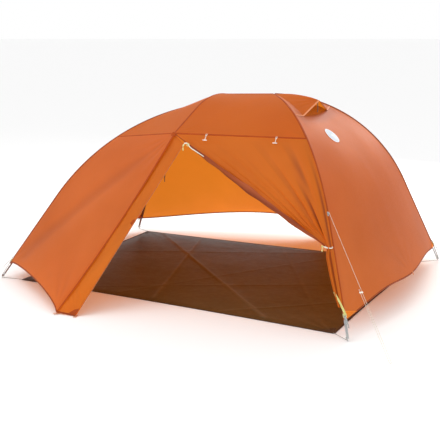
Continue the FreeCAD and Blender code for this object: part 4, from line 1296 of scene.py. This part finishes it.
STRAP_LOW = (0.018, 0.0086)
STRAP_HIGH = (0.170, 0.018)
ADJUST_AT = 0.126
STRAP_THICK = 0.0012
NECK_LOOP_R = 0.0092
for name, leg in LEGS.items():
    low, high = leg.point(*STRAP_LOW), leg.point(*STRAP_HIGH)
    run = (high - low).normalized()
    out = leg.normal(0.0)
    side = run.cross(out)
    tape = WEB_GREY if name.endswith("head") else WEB_MAROON
    webbing("corner_strap_" + name, rippled(low, high, out), steady(*out), 0.0062, STRAP_THICK,
                          40, tape)
    # The strap goes round the neck of the pole tip, doubles back, and leaves a loose end below the adjuster.
    neck = leg.point(0.020)
    arc = [neck + side * (NECK_LOOP_R * math.cos(a)) + out * (NECK_LOOP_R * math.sin(a))
           for a in (math.pi * k / 12.0 for k in range(13))]
    webbing("corner_loop_" + name, through(arc), lambda t: (arc[min(12, int(t * 12))] - neck).normalized(),
            0.0055, STRAP_THICK, 12, tape)
    adjuster_at = low + run * ADJUST_AT
    place = framed(adjuster_at, run, side)
    buckle = ring_plate(place, (0.0105, 0.0112), (0.0058, 0.0086), 0.0021, "adjuster_frame_" + name, BUCKLE,
                        "adjuster_" + name)
    bar = [place(0.0, y, -0.0026 - 0.0006 * math.cos(y * 280.0))
           for y in (i * 0.0012 - 0.0096 for i in range(17))]
    tube("adjuster_bar_" + name, bar, lambda t: 0.0012 + 0.0003 * math.sin(math.pi * t), BUCKLE,
         "adjuster_" + name)
    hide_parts("strap_adjuster_" + name)
    tail_end = low + run * 0.052 + out * 0.020 + side * 0.006
    tail_top = low + run * (ADJUST_AT - 0.006) + out * 0.0032
    hang = bowed(tail_top, tail_end, out * 0.004)
    webbing("corner_tail_" + name, hang, steady(*out), 0.0044, 0.0010, 24, tape, taper=0.25)
    # Doubled cloth at the end panel's corner.
    end = name.split("_")[1]
    hem = hems["hem_" + end][0]
    share = (0.0, 0.035, 0.070) if name.startswith("near") else (1.0, 0.965, 0.930)
    patch("patch_corner_" + name, [
        hem(share[0]), hem(share[1]), hem(share[2]) + UP * 0.002, leg.point(CORNER_S + 0.050, FABRIC_OFF),
        leg.point(CORNER_S + 0.025, FABRIC_OFF)], hems["hem_" + end][1], 0.0026, PATCH_LIT)
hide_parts("corner_straps")

# -------------------- stake-out tabs
EYE_OUT = 0.009
EYE_R, EYELET_R = 0.0052, 0.0067
TAB_FRONT, TAB_BACK, TAB_SIDE = 0.0098, 0.0280, 0.0105      # from the eye to the edges of the tab
TAB_HALF_THICK = 0.0007


def stake_tab(name, at, away, z):
    away = Vector((away[0], away[1], 0.0)).normalized()
    across = Vector((-away.y, away.x, 0.0))
    eye = Vector((at.x, at.y, z + TAB_HALF_THICK)) + away * EYE_OUT
    verts, uvs = [], []
    rings, count = 9, 36
    for layer in (1.0, -1.0):
        for j in range(rings):
            share = j / (rings - 1)
            for k in range(count):
                a = step_angle(k, count)
                direction = away * math.cos(a) + across * math.sin(a)
                lean = math.cos(a)
                reach_out = TAB_FRONT / max(0.55, lean) if lean > 0 else TAB_BACK / max(0.45, -lean)
                wide = TAB_SIDE / max(0.35, abs(math.sin(a)))
                r = EYE_R + (min(reach_out, wide) - EYE_R) * share
                verts.append(eye + direction * r + UP * (layer * (TAB_HALF_THICK - 0.0002 * share ** 3)))
                uvs.append((r, k * 0.0015))
    n = rings * count
    faces = grid_faces(count, rings, 0, True)
    faces += [tuple(reversed([i + n for i in f])) for f in grid_faces(count, rings, 0, True)]
    for k in range(count):
        a, b = k, (k + 1) % count
        faces.append((b, a, a + n, b + n))
        c = (rings - 1) * count
        faces.append((c + a, c + b, c + b + n, c + a + n))
    tab = add(name + "_webbing", verts, faces, WEB_ORANGE, uvs)
    steps, sides = 40, 10
    verts = []
    for i in range(steps):
        a = step_angle(i, steps)
        direction = away * math.cos(a) + across * math.sin(a)
        for b in (step_angle(k, sides) for k in range(sides)):
            verts.append(eye + direction * (EYELET_R + 0.0016 * math.cos(b)) + UP * (0.0012 * math.sin(b)))
    add(name + "_eyelet", verts, wrapped(sides, steps), EYELET)
    return tab


tabs = [stake_tab("stake_tab_near", NEAR_STAKE, (-0.45, -1.0), 0.006),
        stake_tab("stake_tab_door", DOOR_STAKE, (0.25, -1.0), 0.0015),
        stake_tab("stake_tab_far", FAR_STAKE, (0.1, 1.0), 0.005)]
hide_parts("stake_tabs")
for name, tab_at, out in (("head", HEAD_TAB, 1.0), ("foot", FOOT_TAB, -1.0)):
    top = tab_at + Vector((out * 0.002, 0.0, 0.010))
    webbing("hem_loop_" + name, bowed(top + Vector((0, -0.006, 0)), top + Vector((0, 0.006, -0.001)),
                                      Vector((out * 0.006, 0.0, -0.020))), steady(out, 0.0, 0.3), 0.004,
                                      0.0010, 16,
            WEB_ORANGE)

# -------------------- guyline fittings
LOOP_OUT, LOOP_ALONG = 0.0075, 0.0065
for name, leg in LEGS.items():
    s = leg.at_height(GUY_Z)
    at = leg.point(s, FABRIC_OFF + 0.0105)
    out, run = leg.normal(s), leg.heading(s)
    loop_line = through(circle(32, lambda a: at + run * (LOOP_ALONG * math.sin(a))
                               + out * (LOOP_OUT * math.cos(a)) * (1.25 if math.cos(a) < 0 else 1.0)))
    webbing("guy_loop_" + name, loop_line, lambda t: (loop_line(t) - at).normalized(), 0.0030,
                         0.0011, 48,
                         WEB_GREY)
    base = at - out * 0.0092
    webbing("guy_loop_base_" + name, line(base - run * 0.013, base + run * 0.013), steady(*out), 0.0045,
            0.0010, 8,
            WEB_GREY)
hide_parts("guy_loops")

# -------------------- guyline tensioner and knot
guy_knot = guy_top + guy_run * (GUY_KNOT_AT - 0.0026) + guy_side * GUY_SPREAD
knot_points = []
for k in range(49):
    a = 2.0 * step_angle(k, 48)
    r = 0.0019 + 0.0004 * math.cos(1.5 * a)
    knot_points.append(guy_knot + guy_side * (r * math.cos(a)) + guy_side.cross(guy_run) * (r * math.sin(a))
                       + guy_run * (0.0018 * math.sin(0.75 * a)))
knot = tube("guyline_knot_turns", knot_points, 0.00085, CORD, sides=8)
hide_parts("guyline_knot")
TENSIONER_AT = 0.534
tension_at = guy_top + guy_run * TENSIONER_AT + guy_side * (GUY_SPREAD / 2.0)
place = framed(tension_at, guy_side, guy_run)
tensioner = ring_plate(place, (0.0105, 0.0038), (0.0035, 0.0012), 0.0030, "tensioner_body", WHITE,
                       "guyline_tensioner")
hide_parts("guyline_tensioner")

# -------------------- door zip
zip_run = (DOOR_STAKE - ZIP_TOP).normalized()
zip_side = zip_run.cross(Vector(NEAR_IN)).normalized()
zip_out = zip_run.cross(zip_side)
coil_start = ZIP_TOP + zip_side * 0.0032
coil_length = (DOOR_STAKE - ZIP_TOP).length - 0.060
TOOTH = 0.0026
teeth = int(coil_length / TOOTH) * 4
coil = tube("zip_coil_teeth", evenly(coil_start, coil_start + zip_run * coil_length, teeth),
            lambda t: 0.00145 + 0.00022 * math.sin(2.0 * math.pi * t * teeth / 4.0), ZIP_DARK,
            sides=8)
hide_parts("zip_coil")
webbing("zip_tape",
        line(coil_start - zip_side * 0.0020, coil_start - zip_side * 0.0020 + zip_run * coil_length),
        steady(*zip_out), 0.0046, 0.0006, 120, WEB_ORANGE)

slider_at = coil_start + zip_run * 0.010 + zip_side * 0.0024
place = framed(slider_at, zip_run, zip_side)


SLIDER_LENGTH = 0.013
SLIDER_HALF_HIGH = 0.0034


def slider_point(t, c, s):
    end = 0.0008 if t in (0.0, 1.0) else 0.0
    return place(SLIDER_LENGTH * (t - 0.5), (0.0050 - 0.0012 * ease(t) - end) * c, SLIDER_HALF_HIGH * s)


slider = boxy("zip_slider_body", slider_point, 11, 20, 0.55, ZIP, "zip_slider")
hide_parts("zip_slider")
pin_at, _ = hinge_of("zip_pull_swing")
tube("zip_slider_lug", evenly(pin_at - zip_side * 0.0012, pin_at + zip_side * 0.0012, 6),
     lambda t: 0.0026 - 0.0005 * abs(2.0 * t - 1.0) ** 3, ZIP, "zip_slider", 20)
for way in (-1.0, 1.0):
    arm = pin_at + zip_side * (0.0031 * way)
    tube("zip_pull_arm_%d" % (way > 0), evenly(arm + UP * 0.0012, arm - UP * 0.0118, 10),
         lambda t: 0.00105 - 0.0003 * abs(2.0 * t - 1.0) ** 4, ZIP, "zip_pull", 12)
PULL_LENGTH = 0.016
PULL_DROP = 0.0110              # from the hinge to the top of the tongue


def pull_point(t, c, s):
    """Tongue of the pull, waisted by shallow grips."""
    grips = 0.12 * math.sin(12.0 * math.pi * t) ** 2 * ease(t * 3.0)
    wide = 0.0043 * (0.80 + 0.25 * math.sin(math.pi * t) ** 0.5 - grips)
    thick = 0.0013 * (1.0 - 0.35 * abs(2.0 * t - 1.0) ** 4)
    return pin_at + Vector((wide * c, thick * s, -PULL_DROP - PULL_LENGTH * t))


pull = boxy("zip_pull_tongue", pull_point, 21, 16, 0.7, ZIP, "zip_pull")
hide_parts("zip_pull")

# Pale end of the zip over the apex of the doorway, and down the first hand's breadth of the open flap.
apex = [ZIP_TOP + Vector((0.006, -0.006, 0.002)), ZIP_TOP + Vector((0.024, -0.010, 0.006)),
        flap_zip + Vector((0.004, -0.018, 0.005)), flap_slack(0.035) + Vector((0.0, -0.023, -0.001)),
        flap_slack(0.07) + Vector((0.0, -0.026, 0.001)), flap_slack(0.105) + Vector((0.0, -0.027, 0.003)),
        flap_slack(0.14) + Vector((0.0, -0.027, 0.005))]


def smooth_path(points):
    """Catmull-Rom line through a few points."""
    def at(t):
        n = len(points) - 1
        i = min(n - 1, int(t * n))
        w = t * n - i
        a, b, c, d = (points[max(0, i - 1)], points[i], points[i + 1], points[min(n, i + 2)])
        return (b * 2.0 + (c - a) * w + (a * 2.0 - b * 5.0 + c * 4.0 - d) * w * w
                + (b * 3.0 - a - c * 3.0 + d) * w ** 3) * 0.5
    return at


webbing("zip_top_tape", smooth_path(apex), steady(-0.1, -1.0, 0.2), 0.0042, 0.0012, 60, WEB_WHITE,
        taper=0.45)
RING_R = 0.0085
ring_at = flap_zip + Vector((0.013, -0.025, 0.000))
tube("zip_top_ring", circle(40, lambda a: ring_at + Vector((RING_R * math.cos(a), -0.0012 * math.sin(2 * a),
                                                           RING_R * math.sin(a)))), 0.0019, ZIP)


# -------------------- toggles
def lathe(name, at, down, profile, mat, body, sides=20):
    """Turned piece: profile holds (distance along down, radius)."""
    side = down.orthogonal().normalized()
    other = down.cross(side)
    verts = []
    for d, r in profile:
        for a in (step_angle(k, sides) for k in range(sides)):
            verts.append(at + down * d + side * (r * math.cos(a)) + other * (r * math.sin(a)))
    return add(name, verts, capped(sides, len(profile)), mat, body=body)


def capsule(radius, length, grooves=3, waist=0.0):
    """Profile of a rounded bar with shallow grooves round it."""
    steps = 48
    rows = []
    for k in range(steps + 1):
        x = length * k / steps
        end = min(x, length - x)
        r = radius * math.sqrt(max(0.02, 1.0 - max(0.0, 1.0 - end / radius) ** 2))
        r *= 1.0 - waist * math.sin(math.pi * k / steps)
        if radius < x < length - radius:
            r *= 1.0 - 0.10 * max(0.0,
                                  math.cos(2.0 * math.pi * grooves
                                           * (x - radius) / (length - 2.0 * radius))) ** 6
        rows.append((x, r))
    return rows


def pin(name, pivot, axis, half, radius, mat, body, sides=12):
    """Straight pin of a hinge, centred on its pivot."""
    tube(name, evenly(pivot - axis * half, pivot + axis * half, 8), radius, mat, body, sides)


PIN_HALF, PIN_R = 0.0047, 0.0012
BAR_LENGTH = 0.0296
FLAP_SLOPE = Vector((0.0, -0.6, -0.8))
ROOF_TOGGLE_STEM = 0.026
for end in ("foot", "head"):
    pivot, axis = hinge_of("roof_toggle_%s_lift" % end)
    body = "roof_toggle_" + end
    toggle = tube(body + "_stem",
                  evenly(pivot - FLAP_SLOPE * 0.0014, pivot + FLAP_SLOPE * (0.0081 + ROOF_TOGGLE_STEM), 12),
                  lambda t: 0.0016 + 0.0007 * math.exp(-t * 9.0) + 0.0005 * math.exp((t - 1.0) * 9.0), WHITE,
                  body, 12)
    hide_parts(body)
    bar_start = pivot + FLAP_SLOPE * (0.008 + ROOF_TOGGLE_STEM) - axis * (BAR_LENGTH / 2.0)
    lathe(body + "_bar", bar_start, axis, capsule(0.0028, BAR_LENGTH), WHITE, body)
    pin(body + "_pin", pivot, axis, PIN_HALF, PIN_R, WHITE, body)

edge_pivot, _ = hinge_of("door_edge_toggle_swing")
EDGE_AXIS = Vector((1.0, 0.0, 0.0))
toggle = lathe("door_edge_toggle_body", edge_pivot - UP * 0.0005, -UP, capsule(0.0026, 0.0345, 4, 0.12), DARK,
               "door_edge_toggle")
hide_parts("door_edge_toggle")
pin("door_edge_toggle_pin", edge_pivot, EDGE_AXIS, PIN_HALF, PIN_R, DARK, "door_edge_toggle")

for name, (pivot, axis), down, tape, mat in (
        ("roof_foot", hinge_of("roof_toggle_foot_lift"), FLAP_SLOPE, 0.0115, WEB_WHITE),
        ("roof_head", hinge_of("roof_toggle_head_lift"), FLAP_SLOPE, 0.0115, WEB_WHITE),
        ("door_edge", (edge_pivot, EDGE_AXIS), -UP, 0.0125, WEB_BROWN)):
    for way in (-1.0, 1.0):
        middle = pivot + axis * (0.0036 * way)
        across = down.cross(axis)
        path = smooth_path([middle - down * tape + across * 0.0003, middle - down * 0.005 + across * 0.0008,
                            middle - down * 0.0012 + across * 0.0022,
                            middle + down * 0.0022 + across * 0.0006,
                            middle + down * 0.0010 - across * 0.0019, middle - down * 0.004 - across * 0.0010,
                            middle - down * tape - across * 0.0003])
        webbing("toggle_tape_%s_%d" % (name, way > 0), path,
                             lambda t: (path(t) - (middle - down * 0.004)).normalized(),
                             0.0011, 0.0006, 36, mat)
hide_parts("toggle_loops")

# -------------------- tie round the gathered flap
band_at = (tie + tie_inner) / 2.0 + Vector((0.0, -0.003, 0.0))
BAND_R = 0.026
BAND_SQUEEZE = 0.62
TIE_EYE_R = 0.0056


def band_line(t):
    a = 2.0 * math.pi * t + math.pi
    return band_at + Vector((BAND_R * math.cos(a), BAND_R * BAND_SQUEEZE * math.sin(a),
                             0.0014 * math.sin(2.0 * a)))


band = webbing("door_tie_band", band_line, lambda t: (band_line(t) - band_at).normalized(), 0.0035, 0.0012,
               90, WEB_WHITE)
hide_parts("door_tie")
eye_at = band_at + Vector((-BAND_R - 0.0094, -0.004, 0.0))
tube("door_tie_eye",
     circle(32, lambda a: eye_at + Vector((TIE_EYE_R * math.cos(a), TIE_EYE_R * math.sin(a), 0.0))),
     0.0011,
     WEB_LIME)
bridge_run = (band_at + Vector((-BAND_R, 0.0, 0.0)) - eye_at).normalized()
webbing("door_tie_bridge", line(eye_at + bridge_run * 0.0045, eye_at + bridge_run * 0.0105), steady(0, -1, 0),
        0.0022,
        0.0012, 6, WEB_WHITE)
tie_low, tie_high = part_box("door_tie_toggle")
head_at = Vector(((tie_low[0] + tie_high[0]) / 2.0, (tie_low[1] + tie_high[1]) / 2.0, tie_high[2]))
peg = [(0.0003, 0.0012), (0.0008, 0.0030), (0.0022, 0.0043), (0.0046, 0.00455), (0.0070, 0.0042),
       (0.0086, 0.0032),
       (0.0100, 0.0028)]
peg += [(0.0120 + 0.0018 * k, 0.0027 + 0.00018 * math.cos(2.2 * k)) for k in range(10)]
peg += [(0.0312, 0.0030), (0.0330, 0.0036), (0.0350, 0.0037), (0.0368, 0.0030), (0.0378, 0.0014)]
toggle = lathe("door_tie_peg", head_at, -UP, peg, ZIP, "door_tie_toggle", 24)
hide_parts("door_tie_toggle")

# Lower end of the flap's zip: a pale tape from the gathered tail to the corner buckle.
corner_buckle = near_leg.point(0.146, 0.0268)
tail_zip = bowed(tail_edge(0.76) + Vector((0.001, -0.007, 0)), corner_buckle, Vector((0.006, -0.004, 0.0)))
webbing("door_zip_tail", tail_zip, steady(0.0, -1.0, 0.2), 0.0050, 0.0012, 40, WEB_LIME,
        taper=-0.4)

# -------------------- vent strut and head panel patch
strut_low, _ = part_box("vent_strut")
strut_top, _ = hinge_of("vent_strut_fold")
strut_length = strut_top.z - strut_low[2]
STRUT_ROWS, STRUT_SIDES = 22, 14


def strut_point(t, c, s):
    wide = 0.0054 * (1.0 - 0.10 * math.sin(math.pi * t)) * (1.0 if t < 0.97 else 0.86)
    return strut_top + Vector((0.00115 * c, wide * s, -strut_length * t))


strut = boxy("vent_strut_blade", strut_point, STRUT_ROWS, STRUT_SIDES, 0.6, DARK,
             "vent_strut",
             [(strut_length * j / (STRUT_ROWS - 1), k / STRUT_SIDES) for j in range(STRUT_ROWS)
              for k in range(STRUT_SIDES)])
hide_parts("vent_strut")
pin("vent_strut_pin", strut_top, Vector((0.0, 1.0, 0.0)), 0.0094, 0.0015, DARK, "vent_strut",
    14)


# Fine net behind the vent, hung from the hood near the hub and sewn to the sill; its dark colour is painted
# shade under the hood.
def vent_back(t):
    return across_hub("head")(t) * 0.45 + vent_sill(t) * 0.55 - UP * (0.020 * 4.0 * t * (1.0 - t))


def net_shift(u, v, p):
    return Vector((-0.004, 0.0, 0.0)) + UP * drift(p, 12.0, 0.002, 5.0) * window(u, v), 0.25


vent_net_painted_shade = cloth("vent_net_painted_shade",
                 [(lambda u, v: vent_back(0.06 + 0.88 * u).lerp(vent_sill(0.06 + 0.88 * u), v), 48, 14,
                               net_shift)], NET)

# Plain pale badge on the head panel, where the real tent has a printed mark.
BADGE_MIDDLE = (0.355, 0.185)
BADGE_LONG = (0.024, 0.052)
BADGE_WIDE = (0.056, -0.015)
verts, uvs = [], []
BADGE_SIDES, BADGE_RINGS = 40, 6
for j in range(BADGE_RINGS + 1):
    share = j / BADGE_RINGS
    for k in range(BADGE_SIDES):
        a = step_angle(k, BADGE_SIDES)
        u = BADGE_MIDDLE[0] + share * (BADGE_LONG[0] * math.cos(a) + BADGE_WIDE[0] * math.sin(a))
        v = BADGE_MIDDLE[1] + share * (BADGE_LONG[1] * math.cos(a) + BADGE_WIDE[1] * math.sin(a))
        p = head_surface(u, v)
        verts.append(p + head_swell(u, v, p)[0] + Vector((0.0022 + 0.0006 * (1.0 - share ** 6), 0.0, 0.0008)))
        uvs.append((k * 0.004, 0.15 + 0.7 * share))
add("head_badge", verts, grid_faces(BADGE_SIDES, BADGE_RINGS + 1, 0, True), BADGE, uvs)


# -------------------- poles, hubs and fittings that keep their CAD shape
def finish_nodes(names, mat):
    for name in names:
        for holder in frame["nodes"][name].material_slots:
            holder.material = mat


pole_names = ["ridge_pole"] + ["brow_pole_" + part for part in ("near", "middle", "far")]
pole_names += ["leg_%s_%s" % (name, part) for name in LEGS for part in ("lower", "middle", "upper")]
finish_nodes(pole_names, POLE)
finish_nodes([name for name in pole_names if name.startswith("leg_") and "_foot_" in name], POLE_MAROON)
finish_nodes(("leg_ferrules", "brow_ferrules"), EYELET)
finish_nodes(["pole_tip_" + name for name in LEGS], TIP)
finish_nodes(("hub_head", "hub_foot", "brow_end_caps", "brow_swivel", "vent_strut_socket"), HUB)
finish_nodes(("shock_cords",), SHOCK)


for piece, (start, finish) in zip(floor_cords, cord_ends.values()):
    tuple(start)
